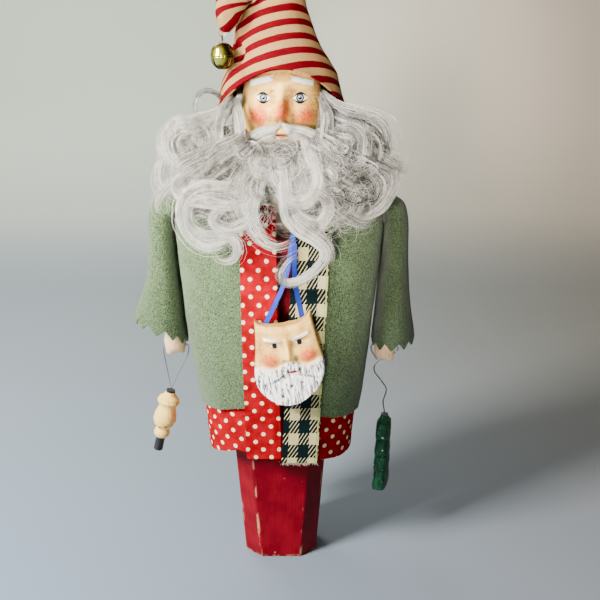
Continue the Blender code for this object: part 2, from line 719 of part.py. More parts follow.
def strip(name, left_edge, width, line, offset, mat):
    """A flat strip down the front: line holds its (y, z) points, offset its clearance from them."""
    rings = []
    foot, top = line[0][1], line[-1][1]
    for i, (y, z) in enumerate(line):
        low = left_edge[0] + (left_edge[1] - left_edge[0]) * (z - foot) / (top - foot)
        before, after = line[max(i - 1, 0)], line[min(i + 1, len(line) - 1)]
        way = Vector((0, after[0] - before[0], after[1] - before[1])).normalized()
        inner = Vector((low, y, z)) + Vector((0, -way.z, way.y)) * offset
        outer = Vector((low, y, z)) + Vector((0, -way.z, way.y)) * (offset + STRIP)
        across = Vector((width, 0, 0))
        rings.append([inner, inner + across, outer + across, outer])
    return loft(name, rings, mat)


def chest_line(low, high):
    """(y, z) points down the middle of the coat's front between two heights."""
    inside = [z for z, _ in CHEST if low < z < high]
    return [(-between(CHEST, z)[0], z) for z in [low, *inside, high]]


def make_strips():
    strip("robe_front_band", BAND_X, BAND_WIDTH, chest_line(82 * MM, 237 * MM), 0.5 * MM, "dotted")
    strip("scarf_long_end", SCARF_X, SCARF_WIDTH, chest_line(79 * MM, 241 * MM), 1.8 * MM, "plaid")
    strip("scarf_short_end", SCARF_SHORT_X, SCARF_WIDTH, chest_line(214 * MM, 241 * MM), 1.8 * MM, "plaid")
    collar = [(9, 244.6), (14, 244.6), (15.5, 248), (14, 252), (9, 252.6), (8, 248)]
    turned("scarf_collar", [(r * MM, z * MM) for r, z in collar], "plaid", segments=24, closed=True)

    ring = [(7.4, 254), (8.6, 254), (8.6, 256.4), (7.4, 256.4)]
    turned("ribbon_collar", [(r * MM, z * MM) for r, z in ring], "satin", segments=24, closed=True)
    fall = [(-9, 255.2), (-17.5, 254.6), (-20.5, 250), (-27, 243), (-36, 235), (-44.5, 225.5)]
    line = [(y * MM, z * MM) for y, z in fall][::-1]
    edge = APEX.x - RIBBON_WIDTH / 2
    strip("ribbon_neck", (edge, edge), RIBBON_WIDTH, line, 0, "satin")


# ---- pendant


def ribbon_strand(name, start, end):
    """A flat ribbon between two points, its width across the view."""
    way = (end - start).normalized()
    across = way.cross(Vector((0, 1, 0))).normalized() * RIBBON_WIDTH / 2
    thick = Vector((0, 0.25 * MM, 0))
    rings = []
    for k in (0, 0.5, 1):
        p = start.lerp(end, k) - Vector((0, 0.6 * MM * math.sin(math.pi * k), 0))
        rings.append([p - across - thick, p + across - thick, p + across + thick, p - across + thick])
    return loft(name, rings, "satin")


def mask_height(x, z):
    """How far the mask's face stands out at x and z, both from -1 to 1 over its outline."""
    dome = 3.2 * max(0, 1 - 0.75 * x * x - 0.35 * z * z)
    nose = 4.2 * max(0, 1 - abs(x) / 0.2) * max(0, 1 - abs(z - 0.12) / 0.3)
    beard = 1.8 * max(0, 1 - abs(z + 0.5) / 0.6)
    return (dome + nose + beard) * MM


def on_mask(across, down, out=0.0):
    """A point on the mask from its own across, down and outward distances."""
    turn = Matrix.Rotation(-MASK_TILT, 4, "Y")
    return MASK_TOP + turn @ Vector((across, -out, -down))


def make_mask():
    """A thin modelled face that tilts out about its upper edge, on two ribbon strands."""
    columns, rows = 14, 18
    bm = bmesh.new()
    sheets = []
    for depth in (0, 1):
        grid = []
        for j in range(rows + 1):
            share = j / rows
            half, shift = (value * MM for value in between(MASK_OUTLINE, share))
            row = []
            for i in range(columns + 1):
                x = 2 * i / columns - 1
                dip = 3.4 * MM * (1 - x * x) * (1 - share) ** 4
                out = MASK_PLATE + mask_height(x, 1 - 2 * share) if depth else 0
                row.append(bm.verts.new(on_mask(x * half - shift, share * MASK_HEIGHT + dip, out)))
            grid.append(row)
        sheets.append(grid)
    for grid in sheets:
        for a, b in zip(grid, grid[1:]):
            for i in range(columns):
                bm.faces.new((a[i], a[i + 1], b[i + 1], b[i]))
    back, front = sheets
    rim = [(j, 0) for j in range(rows)] + [(rows, i) for i in range(columns)]
    rim += [(j, columns) for j in range(rows, 0, -1)] + [(0, i) for i in range(columns, 0, -1)]
    for (j, i), (k, l) in zip(rim, rim[1:] + rim[:1]):
        bm.faces.new((back[j][i], back[k][l], front[k][l], front[j][i]))
    mask = mesh_object("mask_face", bm, "mask_clay", 60)
    hinged(on_mask(0, -MASK_HINGE_RISE), mask)
    strands = []
    for side, sign, inward in (("left", -1, 3 * MM), ("right", 1, 5 * MM)):
        end = on_mask(sign * (MASK_OUTLINE[0][1] * MM - inward), 3 * MM, -0.65 * MM)
        strands.append(ribbon_strand(f"ribbon_{side}", APEX + Vector((sign * 2.2 * MM, 0, 0)), end))
    hinged(APEX, *strands)


def main():
    clear_scene()
    make_core()
    lengths = {"left": (70 * MM, 17 * MM), "right": (77 * MM, 14 * MM)}
    toys = {"left": make_peg_toy(), "right": make_tree_toy()}
    for side, sign in (("left", -1), ("right", 1)):
        arm, hand = make_arm(side, sign)
        sleeve = make_sleeve(side, sign, *lengths[side])
        hinged(shoulder_point(sign, 0, 0, 0), arm, hand, sleeve)
        hinged(shoulder_point(sign, HAND_OUT, 0, HAND_HOLE), *toys[side])
    make_head()
    make_hair()
    make_hat()
    make_bell()
    make_garments()
    make_strips()
    make_mask()


main()
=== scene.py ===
import math
import random

import bmesh
import bpy
import numpy as np
from mathutils import Matrix, Vector, noise


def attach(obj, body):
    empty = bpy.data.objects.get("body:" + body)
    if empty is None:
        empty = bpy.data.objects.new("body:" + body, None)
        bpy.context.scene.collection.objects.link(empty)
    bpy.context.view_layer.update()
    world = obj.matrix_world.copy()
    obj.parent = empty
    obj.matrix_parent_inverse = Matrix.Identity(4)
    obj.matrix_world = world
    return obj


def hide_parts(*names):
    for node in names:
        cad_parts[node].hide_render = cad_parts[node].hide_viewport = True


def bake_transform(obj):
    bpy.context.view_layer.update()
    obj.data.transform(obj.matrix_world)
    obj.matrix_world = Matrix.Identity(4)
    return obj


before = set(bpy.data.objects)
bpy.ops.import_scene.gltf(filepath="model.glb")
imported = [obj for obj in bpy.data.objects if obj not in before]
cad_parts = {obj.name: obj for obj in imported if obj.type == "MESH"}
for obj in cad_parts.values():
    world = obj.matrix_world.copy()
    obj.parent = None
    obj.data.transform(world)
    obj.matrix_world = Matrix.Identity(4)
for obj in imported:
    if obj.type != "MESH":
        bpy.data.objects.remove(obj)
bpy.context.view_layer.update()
DRAWS = random.Random(11)
MM = 0.001

# ---- shader fields: arithmetic on sockets, so that a pattern reads as a formula


class Field:
    """A number or a vector inside one material's node tree."""

    def __init__(self, tree, socket):
        self.tree, self.socket = tree, socket

    def math(self, operation, *others):
        node = self.tree.nodes.new("ShaderNodeMath")
        node.operation = operation
        for slot, value in zip(node.inputs, (self, *others)):
            plug(self.tree, slot, value)
        return Field(self.tree, node.outputs[0])

    def __add__(self, other):
        return self.math("ADD", other)

    def __sub__(self, other):
        return self.math("SUBTRACT", other)

    def __mul__(self, other):
        return self.math("MULTIPLY", other)

    def __truediv__(self, other):
        return self.math("DIVIDE", other)

    def __abs__(self):
        return self.math("ABSOLUTE")

    def below(self, other):
        return self.math("LESS_THAN", other)

    def least(self, other):
        return self.math("MINIMUM", other)

    def most(self, other):
        return self.math("MAXIMUM", other)

    def fraction(self):
        return self.math("FRACT")

    def centred(self, period):
        """The distance to the nearest multiple of a period, signed."""
        return ((self / period + 0.5).fraction() - 0.5) * period

    def ramp(self, low, high):
        """Smoothly 0 at low and 1 at high, which may be the smaller."""
        node = self.tree.nodes.new("ShaderNodeMapRange")
        node.interpolation_type = "SMOOTHSTEP"
        turned = low > high
        plug(self.tree, node.inputs["Value"], self)
        node.inputs["From Min"].default_value = min(low, high)
        node.inputs["From Max"].default_value = max(low, high)
        node.inputs["To Min"].default_value = 1 if turned else 0
        node.inputs["To Max"].default_value = 0 if turned else 1
        return Field(self.tree, node.outputs["Result"])


def plug(tree, slot, value):
    if isinstance(value, Field):
        tree.links.new(value.socket, slot)
    else:
        slot.default_value = value


def distance(x, y):
    return (x * x + y * y).math("SQRT")


def spot(x, y, cx, cy, rx, ry):
    """The distance from a point over an ellipse's radii, so 1 is its rim."""
    return distance((x - cx) / rx, (y - cy) / ry)


class Material:
    """A procedural material with one Principled shader."""

    def __init__(self, name, roughness=0.7, metallic=0.0, **sockets):
        self.data = bpy.data.materials.new(name)
        self.data.use_nodes = True
        self.tree = self.data.node_tree
        self.shader = self.tree.nodes["Principled BSDF"]
        self.shader.inputs["Roughness"].default_value = roughness
        self.shader.inputs["Metallic"].default_value = metallic
        for socket, value in sockets.items():
            self.shader.inputs[socket.replace("_", " ")].default_value = value

    def node(self, kind):
        return self.tree.nodes.new(kind)

    def split(self, socket):
        parts = self.node("ShaderNodeSeparateXYZ")
        self.tree.links.new(socket, parts.inputs[0])
        return [Field(self.tree, out) for out in parts.outputs]

    def place(self):
        """Position in the row frame, in millimetres."""
        return [axis * 1000 for axis in self.split(self.node("ShaderNodeTexCoord").outputs["Object"])]

    def flat(self):
        """Position on the cloth or the painted face, in millimetres, as stored in the UV map."""
        u, v, _ = self.split(self.node("ShaderNodeTexCoord").outputs["UV"])
        return u, v

    def attribute(self, name):
        node = self.node("ShaderNodeAttribute")
        node.attribute_name = name
        return Field(self.tree, node.outputs["Fac"])

    def vector(self, x, y, z=0.0):
        node = self.node("ShaderNodeCombineXYZ")
        for slot, value in zip(node.inputs, (x, y, z)):
            plug(self.tree, slot, value)
        return Field(self.tree, node.outputs[0])

    def noise(self, size, detail=2.0, at=None, stretch=(1, 1, 1)):
        """Noise from 0 to 1 whose blobs are about size millimetres."""
        x, y, z = at if at else self.place()
        node = self.node("ShaderNodeTexNoise")
        node.inputs["Scale"].default_value = 1 / size
        node.inputs["Detail"].default_value = detail
        plug(self.tree, node.inputs["Vector"], self.vector(x / stretch[0], y / stretch[1], z / stretch[2]))
        return Field(self.tree, node.outputs["Fac"])

    def mix(self, a, b, share):
        node = self.node("ShaderNodeMix")
        node.data_type = "RGBA"
        plug(self.tree, node.inputs["Factor"], share)
        plug(self.tree, node.inputs[6], (*a, 1) if isinstance(a, tuple) else a)
        plug(self.tree, node.inputs[7], (*b, 1) if isinstance(b, tuple) else b)
        return Field(self.tree, node.outputs[2])

    def colour(self, value):
        plug(self.tree, self.shader.inputs["Base Color"], value)

    def rough(self, value):
        plug(self.tree, self.shader.inputs["Roughness"], value)

    def bump(self, height):
        """Bump from a height in millimetres."""
        node = self.node("ShaderNodeBump")
        node.inputs["Distance"].default_value = MM
        plug(self.tree, node.inputs["Height"], height)
        self.tree.links.new(node.outputs[0], self.shader.inputs["Normal"])


def srgb(r, g, b):
    """A linear colour from the 0 to 255 numbers a paint chart gives."""
    return tuple(((c / 255 + 0.055) / 1.055) ** 2.4 if c > 10 else c / 3295 for c in (r, g, b))


# ---- materials


def felt(name="felt", depth=1.0):
    m = Material(name, 0.95, Sheen_Weight=0.12, Sheen_Roughness=0.6, Specular_IOR_Level=0.08)
    fine = m.noise(0.75, 5)
    tufts = m.noise(2.6, 3)
    clouds = m.noise(16, 2)
    base = m.mix(srgb(40, 54, 30), srgb(126, 150, 106), fine.ramp(0.3, 0.7))
    base = m.mix(base, srgb(82, 104, 64), tufts.ramp(0.4, 0.75) * 0.55)
    base = m.mix(base, srgb(118, 144, 104), clouds.ramp(0.5, 0.8) * 0.35)
    # depth mixes the felt towards near black: the coat's 0.68 is its own deeper green, and the right sleeve's
    # 0.34 is painted shade
    m.colour(m.mix(srgb(16, 18, 8), base, depth))
    m.bump(fine * 0.55 + tufts * 0.5)
    return m.data


def weave(u, v, pitch):
    """The height of a plain weave's threads, 0 to 1."""
    return abs((u * (math.tau / pitch)).math("SINE") * (v * (math.tau / pitch)).math("SINE"))


def dotted():
    m = Material("dotted_cotton", 0.9, Specular_IOR_Level=0.02)
    u, v = m.flat()
    column, row = 9.7, 10.5
    wobble = m.noise(1.2, 1) * 0.5 - 0.25
    first = distance(u.centred(column), v.centred(row))
    second = distance((u + column / 2).centred(column), (v + row / 2).centred(row))
    dot = (first.least(second) + wobble).ramp(1.5, 1.18)
    cloth = m.mix(srgb(140, 0, 14), srgb(172, 0, 22), m.noise(7, 3).ramp(0.3, 0.7))
    cloth = m.mix(cloth, srgb(106, 0, 10), weave(u, v, 0.5) * 0.35)
    m.colour(m.mix(cloth, srgb(250, 226, 176), dot * (m.noise(0.4, 1).ramp(0.15, 0.35) * 0.2 + 0.8)))
    m.bump(weave(u, v, 0.5) * 0.06 + dot * 0.05)
    return m.data


def plaid():
    m = Material("plaid_twill", 0.9, Specular_IOR_Level=0.08)
    u, v = m.flat()
    warp = (u / 12.5 + 0.24).fraction().below(0.52)
    weft = (v / 16.8 + 0.12).fraction().below(0.54)
    twill = ((u * 1.6 - v * 0.9) / 3.6).fraction().below(0.74)
    both, either = warp * weft, warp.most(weft)
    dark = both.most(either * twill)
    thread = m.noise(0.5, 2)
    ink = m.mix(srgb(1, 7, 10), srgb(5, 26, 28), thread)
    cream = m.mix(srgb(158, 146, 100), srgb(204, 192, 142), thread)
    cream = m.mix(cream, srgb(140, 152, 76), abs(u - 21.0).ramp(0.9, 0.4))
    tone = m.mix(cream, ink, dark)
    m.colour(m.mix(tone, srgb(170, 172, 108), abs(u - 21.1).ramp(0.45, 0.3) * twill.math("SUBTRACT", 0.2)))
    ribs = (((u * 1.6 - v * 0.9) / 1.2).fraction() - 0.5).math("ABSOLUTE")
    m.bump(ribs * 0.18 + thread * 0.1)
    return m.data


def striped():
    m = Material("striped_cotton", 0.9, Specular_IOR_Level=0.03)
    u, v = m.flat()
    soft = m.noise(3, 2) * 0.5 - 0.25
    band = abs((v + 5.6 + soft).centred(8.0))
    red = band.ramp(1.98, 1.75)
    threads = m.noise(0.5, 2, at=(u, v * 6, u * 0))
    cream = m.mix(srgb(140, 106, 66), srgb(178, 144, 94), threads.ramp(0.3, 0.7))
    cream = m.mix(cream, srgb(126, 86, 54), m.noise(11, 3).ramp(0.5, 0.8) * 0.5)
    paint = m.mix(srgb(76, 0, 10), srgb(104, 0, 16), threads)
    m.colour(m.mix(cream, paint, red))
    m.bump(threads * 0.12 + weave(u, v, 0.6) * 0.06)
    return m.data


def satin():
    m = Material("satin_ribbon", 0.36, Specular_IOR_Level=0.3)
    u, v = m.flat()
    grain = m.noise(0.6, 2, at=(u * 5, v * 0.4, u * 0))
    edge = abs(u).ramp(1.25, 1.5)
    tone = m.mix(srgb(14, 30, 112), srgb(40, 70, 178), grain)
    m.colour(m.mix(tone, srgb(10, 20, 84), edge * 0.7))
    m.bump((u * (math.tau / 0.35)).math("SINE") * 0.01 + grain * 0.04)
    return m.data


def post_paint():
    """Red paint rubbed through to pale wood along the post's front corners."""
    m = Material("post_paint", 0.5, Specular_IOR_Level=0.08)
    x, y, z = m.place()
    blotch = m.noise(14, 3)
    tone = m.mix(srgb(98, 2, 16), srgb(120, 5, 24), blotch.ramp(0.3, 0.7))
    streaks = m.noise(1.4, 3, stretch=(1, 1, 14))
    tone = m.mix(tone, srgb(78, 1, 12), streaks.ramp(0.55, 0.8) * 0.4)
    corner = z * (14.5 / 220) + 13.1
    front = y.below(-12)
    ragged = m.noise(3.5, 4, stretch=(1, 1, 5))
    rub = abs(abs(x) - corner).ramp(1.2, 0.35) * ragged.ramp(0.5, 0.58) * front
    side = z * (14.5 / 220) + 23.4
    rub = rub.most(abs(abs(x) - side).ramp(0.7, 0.2) * ragged.ramp(0.56, 0.63))
    chips = m.noise(2.4, 1).ramp(0.8, 0.83)
    foot = z.ramp(2.2, 0.6) * m.noise(4, 3).ramp(0.45, 0.6)
    worn = rub.most(chips).most(foot)
    bare = m.mix(srgb(150, 84, 66), srgb(206, 160, 128), m.noise(2, 2))
    m.colour(m.mix(tone, bare, worn * 0.85))
    m.rough(worn * 0.3 + 0.4 + blotch * 0.08)
    m.bump(streaks * 0.16 - worn * 0.1 + m.noise(0.8, 2) * 0.05)
    return m.data


def bare_wood(name, light, dark, stretch=(1, 1, 12), roughness=0.55):
    m = Material(name, roughness)
    grain = m.noise(0.9, 4, stretch=stretch)
    blotch = m.noise(7, 2)
    tone = m.mix(srgb(*light), srgb(*dark), grain.ramp(0.4, 0.75))
    m.colour(m.mix(tone, srgb(*dark), blotch.ramp(0.5, 0.85) * 0.5))
    m.bump(grain * 0.12)
    return m.data


def peg_paint():
    """Waxed turned wood with fine lathe rings and two small painted marks on the lower bulb."""
    m = Material("peg_toy_wood", 0.5, Specular_IOR_Level=0.15)
    x, y, z = m.place()
    grain = m.noise(0.8, 4, stretch=(1, 1, 9))
    tone = m.mix(srgb(252, 216, 122), srgb(234, 182, 84), grain.ramp(0.4, 0.75))
    rings = (z * (math.tau / 1.1)).math("SINE")
    tone = m.mix(tone, srgb(196, 150, 92), rings.ramp(0.6, 1.0) * 0.25)
    lines = abs(z - 88.6).ramp(0.28, 0.12).most(abs(z - 86.4).ramp(0.24, 0.1) * abs(x + 77.4).ramp(2.4, 2.0))
    marks = spot(x, z, -79.6, 87.4, 1.0, 0.75).least(spot(x, z, -75.4, 88.0, 1.0, 0.75)).ramp(1.1, 0.8)
    ink = (lines * m.noise(0.7, 2).ramp(0.42, 0.5)).most(marks) * y.below(-2)
    m.colour(m.mix(tone, srgb(60, 44, 38), ink * 0.85))
    m.bump(grain * 0.08 + rings * 0.03)
    return m.data


def glossy_paint(name, light, dark, roughness=0.35):
    m = Material(name, roughness)
    brush = m.noise(2.2, 3, stretch=(1, 1, 5))
    m.colour(m.mix(srgb(*dark), srgb(*light), brush.ramp(0.3, 0.7)))
    m.rough(brush * 0.2 + roughness - 0.1)
    m.bump(brush * 0.14)
    return m.data


def tree_paint():
    """Brushed green paint with dabs of white snow."""
    m = Material("tree_toy_paint", 0.5, Specular_IOR_Level=0.25)
    x, y, z = m.place()
    brush = m.noise(1.6, 4, stretch=(1, 1, 4))
    tone = m.mix(srgb(6, 54, 32), srgb(22, 92, 56), brush.ramp(0.3, 0.7))
    tone = m.mix(tone, srgb(4, 36, 24), m.noise(6, 2).ramp(0.5, 0.75) * 0.6)
    dabs = distance(x.centred(6.1), (z + m.noise(9, 0) * 9).centred(11))
    dabs += abs(abs(y).centred(7.3)) * 0.2
    flecks = m.noise(1.1, 1).ramp(0.74, 0.78)
    m.colour(m.mix(tone, srgb(222, 234, 224), dabs.ramp(1.0, 0.7).most(flecks * 0.9)))
    m.bump(brush * 0.2 + flecks * 0.2)
    return m.data


def metal(name, colour, roughness, spread):
    m = Material(name, roughness, 1.0)
    cloud = m.noise(2.5, 3)
    m.colour(m.mix(srgb(*colour), tuple(c * 0.55 for c in srgb(*colour)), cloud.ramp(0.45, 0.8) * spread))
    m.rough(cloud * spread * 0.3 + roughness)
    m.bump(m.noise(0.7, 2) * 0.02)
    return m.data


def tarnished_brass():
    """Dark olive tarnish, with a painted highlight: a bright patch on the bell's front left, towards the key
    light.
    """
    m = Material("bell_brass", 0.16, 1.0)
    x, y, z = m.place()
    cloud = m.noise(2.6, 3)
    # painted highlight on the front left, where the key light falls
    painted_highlight = spot(x + cloud * 2, z, -32.8, 326.4, 5.2, 5.8).ramp(1.08, 0.72) * y.ramp(-13, -16)
    tone = m.mix(srgb(58, 48, 18), srgb(112, 98, 40), cloud.ramp(0.35, 0.7))
    m.colour(m.mix(tone, m.mix(srgb(240, 226, 86), srgb(196, 184, 62), m.noise(1.6, 2)), painted_highlight))
    m.rough(cloud * 0.16 + 0.1)
    m.bump(m.noise(3.2, 2) * 0.25)
    return m.data


def mohair(name, dark, light):
    """Hair whose strands differ: each carries its own tone."""
    m = Material(name, 0.24, Specular_IOR_Level=0.9)
    # the per-strand tone holds painted shade: lower for hair in the depths and on the side away from the light
    shade = m.attribute("shade")
    tone = m.mix(srgb(*dark), srgb(*light), shade)
    m.colour(m.mix(tone, srgb(*dark), m.noise(7, 2).ramp(0.5, 0.8) * 0.5))
    return m.data


def hair_core():
    """The dense hair under the strands: long fine streaks over dark grey, painted shade for the hair's depths.
    """
    m = Material("hair_core", 0.8)
    x, y, z = m.place()
    bend = m.noise(9, 1)
    streak = m.noise(0.45, 3, at=(x + bend * 14, y, z * 0.35 + bend * 9))
    m.colour(m.mix(srgb(50, 45, 38), srgb(122, 114, 100), streak.ramp(0.3, 0.72)))
    m.bump(streak * 0.9)
    return m.data


def skin_tone(m, ruddy, hollow):
    """Warm painted skin: ruddy patches as masks, and dark brown painted into the hollows as shade."""
    mottle = m.noise(1.5, 4)
    wide = m.noise(8, 2)
    tone = m.mix(srgb(232, 176, 88), srgb(250, 206, 116), wide.ramp(0.35, 0.65))
    tone = m.mix(tone, srgb(186, 124, 62), mottle.ramp(0.52, 0.78) * 0.5)
    tone = m.mix(tone, srgb(216, 62, 36), ruddy * (mottle.ramp(0.2, 0.7) * 0.45 + 0.5))
    return m.mix(tone, srgb(96, 50, 22), hollow * (mottle.ramp(0.3, 0.65) * 0.6 + 0.3))


FACE_X = 2.2  # middle of the face, mm
EYE_SPREAD, EYE_Z = 10.85, 302.4


def head_paint():
    m = Material("head_paint", 0.6, Specular_IOR_Level=0.06)
    x, y, z = m.place()
    front = y.below(-8)
    across = x - FACE_X
    cheeks = spot(abs(across), z, 13.4, 292.4, 8.4, 7).ramp(1.1, 0.3)
    nose = spot(across, z, 0, 294.4, 6.2, 5.6).ramp(1.15, 0.3)
    lips = spot(across, z, -0.8, 280.8, 6.4, 1.7).ramp(1.1, 0.6)
    creases = m.attribute("hollow")
    tone = skin_tone(m, cheeks.most(nose), creases)
    mottle = m.noise(1.3, 4)
    bridge = spot(across, z, 1.4, 297, 4.4, 8.5).ramp(1.1, 0.45) * (mottle.ramp(0.25, 0.6) * 0.45 + 0.5)
    tone = m.mix(tone, srgb(150, 66, 32), bridge)
    # painted shade: brown over the face's right side, away from the light, and a painted shadow beside the top
    # of the nose
    wax_and_painted_shade = across.ramp(13, 22).most(spot(across, z, 4.6, 305, 3.2, 6).ramp(1.2, 0.3))
    tone = m.mix(tone, srgb(104, 58, 28), wax_and_painted_shade * mottle.ramp(0.3, 0.62) * 0.75)
    tone = m.mix(tone, srgb(170, 78, 70), lips * 0.8)
    split = abs(z - 281.0 + across * across * 0.012).ramp(0.45, 0.2) * abs(across).ramp(6.2, 5.0)
    tone = m.mix(tone, srgb(74, 24, 20), split)
    side = abs(across)
    lid = (side - EYE_SPREAD) / 4.4
    almond = abs(z - EYE_Z - 0.15) / ((lid * lid * -2.0 + 2.05).most(0.01))
    white = almond.ramp(1.02, 0.92)
    outline = almond.ramp(1.8, 1.5) * abs(lid).ramp(1.28, 1.14)
    tone = m.mix(tone, srgb(4, 3, 4), outline)
    tone = m.mix(tone, srgb(238, 236, 226), white)
    r = distance(side - EYE_SPREAD + 0.2, z - EYE_Z - 0.15)
    iris = r.ramp(2.4, 2.25) * white
    ray = m.noise(0.35, 1)
    tone = m.mix(tone, srgb(6, 9, 16), iris)
    tone = m.mix(tone, m.mix(srgb(70, 90, 118), srgb(160, 178, 198), ray), r.ramp(1.68, 1.5) * white)
    tone = m.mix(tone, srgb(2, 2, 3), r.ramp(1.05, 0.9))
    glint = distance(side - EYE_SPREAD + 0.2 + across * 0.03, z - EYE_Z - 0.75).ramp(0.42, 0.3)
    tone = m.mix(tone, srgb(235, 240, 244), glint)
    ragged = m.noise(1.1, 2, stretch=(4, 1, 1)) * 1.6 - 0.8
    brow_z = (side - 5.2) * -0.26 + 313.8
    brow = abs(z - brow_z + ragged).ramp(1.9, 1.5) * abs(side - 11.8 + ragged * 4).ramp(7.0, 6.2)
    tone = m.mix(tone, srgb(255, 254, 252), brow)
    back = m.mix(srgb(196, 150, 104), srgb(220, 180, 130), m.noise(6, 2))
    m.colour(m.mix(back, tone, front))
    m.rough(white * -0.2 + 0.6)
    m.bump(brow * 0.35 + m.noise(1.2, 3) * 0.12)
    return m.data


MASK_EYE, MASK_MOUTH = 14.6, -32.2  # how far the eyes and the mouth lie below the mask's top, mm


def mask_paint():
    m = Material("mask_paint", 0.5, Specular_IOR_Level=0.14)
    p, q = m.flat()
    hollow = m.attribute("hollow")
    beard = m.attribute("beard")
    side = abs(p)
    cheeks = spot(side, q, 11.2, -23.4, 6.6, 5.2).ramp(1.15, 0.35)
    tone = m.mix(skin_tone(m, cheeks, hollow), srgb(150, 92, 44), m.noise(5, 3).ramp(0.4, 0.7) * 0.3)
    streak = m.noise(0.55, 3, at=(p, q * 0.22, p * 0))
    white = m.mix(srgb(255, 254, 250), srgb(232, 228, 222), streak.ramp(0.45, 0.7))
    # painted shade: dark brown in the carved beard's grooves and in the parting under the moustache
    groove_painted_shade = m.attribute("groove").ramp(0.25, 0.8) * streak.ramp(0.35, 0.55)
    white = m.mix(white, srgb(52, 38, 34), groove_painted_shade)
    tone = m.mix(tone, white, beard)
    brow = abs(q + 11.4 + (side - 7.6) * -0.3).ramp(1.2, 0.95)
    brow = brow * abs(side - 8.2).ramp(5.4, 4.8)
    tone = m.mix(tone, srgb(244, 240, 236), brow)
    lid = (side - 7.4) / 2.7
    almond = abs(q + MASK_EYE) / ((lid * lid * -1.25 + 1.3).most(0.01))
    tone = m.mix(tone, srgb(60, 34, 22), almond.ramp(1.7, 1.35) * abs(lid).ramp(1.25, 1.1) * 0.9)
    tone = m.mix(tone, srgb(236, 232, 224), almond.ramp(1.05, 0.9))
    r = distance(side - 7.4, q + MASK_EYE)
    tone = m.mix(tone, srgb(12, 6, 8), r.ramp(1.6, 1.4))
    tone = m.mix(tone, srgb(84, 30, 34), r.ramp(0.5, 0.3))
    mouth = spot(p, q, 0.6, MASK_MOUTH, 3.0, 0.9).ramp(1.1, 0.8)
    tone = m.mix(tone, srgb(140, 10, 24), mouth)
    m.colour(tone)
    m.rough(beard * 0.12 + 0.38)
    m.bump(streak * beard * 0.25 + brow * 0.3 + m.noise(0.9, 2) * 0.06)
    return m.data


# ---- meshes


def new_object(name, data, mat, body):
    """An object with this data and material, riding on a body if one is given."""
    obj = bpy.data.objects.new(name, data)
    bpy.context.scene.collection.objects.link(obj)
    data.materials.append(mat)
    if body:
        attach(obj, body)
    return obj


def stands_for(piece, slot, *nodes):
    """Hides the CAD nodes that the piece takes the place of."""
    if nodes:
        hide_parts(*nodes)


def new_piece(name, verts, faces, mat, body, uvs=None, sharp=40):
    """A mesh piece on a body. uvs, if given, holds one pair for each corner of each face."""
    mesh = bpy.data.meshes.new(name)
    mesh.from_pydata([tuple(v) for v in verts], [], faces)
    if uvs is not None:
        layer = mesh.uv_layers.new(name="cloth")
        layer.data.foreach_set("uv", np.asarray(uvs, np.float32).ravel())
    mesh.shade_smooth()
    mesh.set_sharp_from_angle(angle=math.radians(sharp))
    return new_object(name, mesh, mat, body)


def set_values(obj, name, values):
    """A number for each vertex, which a material reads by name."""
    layer = obj.data.attributes.new(name, "FLOAT", "POINT")
    layer.data.foreach_set("value", np.asarray(values, np.float32).ravel())


def normals(grid, wrap):
    down = np.gradient(grid, axis=0)
    across = (np.roll(grid, -1, 1) - np.roll(grid, 1, 1)) / 2 if wrap else np.gradient(grid, axis=1)
    out = np.cross(across, down)
    return out / np.maximum(np.linalg.norm(out, axis=2, keepdims=True), 1e-12)


def cloth(name, grid, wall, uv, mat, body, wrap=False, sharp=50):
    """A sheet of cloth: the grid is its outer face, and the wall goes to the other side."""
    rows, columns = grid.shape[:2]
    verts = np.concatenate([grid.reshape(-1, 3), (grid - normals(grid, wrap) * wall).reshape(-1, 3)])
    count = rows * columns
    span = columns if wrap else columns - 1
    corners = []
    for r in range(rows - 1):
        for c in range(span):
            face = [(0, r, c), (0, r, c + 1), (0, r + 1, c + 1), (0, r + 1, c)]
            corners += [face, [(1, a, b) for _, a, b in face[::-1]]]
    for c in range(span):
        corners.append([(1, 0, c), (1, 0, c + 1), (0, 0, c + 1), (0, 0, c)])
        last = rows - 1
        corners.append([(0, last, c), (0, last, c + 1), (1, last, c + 1), (1, last, c)])
    if not wrap:
        for r in range(rows - 1):
            corners.append([(0, r, 0), (0, r + 1, 0), (1, r + 1, 0), (1, r, 0)])
            last = columns - 1
            corners.append([(1, r, last), (1, r + 1, last), (0, r + 1, last), (0, r, last)])
    faces = [[s * count + r * columns + c % columns for s, r, c in face] for face in corners]
    uvs = [uv[r][c] for face in corners for _, r, c in face]
    return new_piece(name, verts, faces, mat, body, uvs, sharp)


def flat_map(grid, wrap=False, centre=None):
    """Distances along and down a grid in millimetres, measured from one column, or else its middle one."""
    loop = np.concatenate([grid, grid[:, :1]], axis=1) if wrap else grid
    across, down = (np.linalg.norm(np.diff(loop, axis=axis), axis=2) for axis in (1, 0))
    u = np.concatenate([np.zeros((len(loop), 1)), across.cumsum(1)], 1)
    v = np.concatenate([np.zeros((1, loop.shape[1])), down.cumsum(0)], 0)
    middle = loop.shape[1] // 2 if centre is None else centre
    u = (u - u[:, middle : middle + 1]) / MM
    return np.stack([u, -v / MM], axis=2)


def smooth_rows(rows, steps):
    """Rows of numbers read from a Catmull-Rom curve through the given ones."""
    rows = np.asarray(rows, float)
    ends = np.vstack([2 * rows[0] - rows[1], rows, 2 * rows[-1] - rows[-2]])
    out = []
    for a, b, c, d in zip(ends, ends[1:], ends[2:], ends[3:]):
        for i in range(steps):
            t = i / steps
            square, cube = 2 * a - 5 * b + 4 * c - d, 3 * b - a - 3 * c + d
            out.append(0.5 * (2 * b + (c - a) * t + square * t**2 + cube * t**3))
    return np.array(out + [rows[-1]])


def ripple(x, y, z, size):
    """Smooth noise from -1 to 1 with blobs of about size, at a point in millimetres."""
    return noise.noise(Vector((x, y, z)) / size)


# ---- garments. Tables hold (z, half width, half depth) in millimetres, from hem to neck

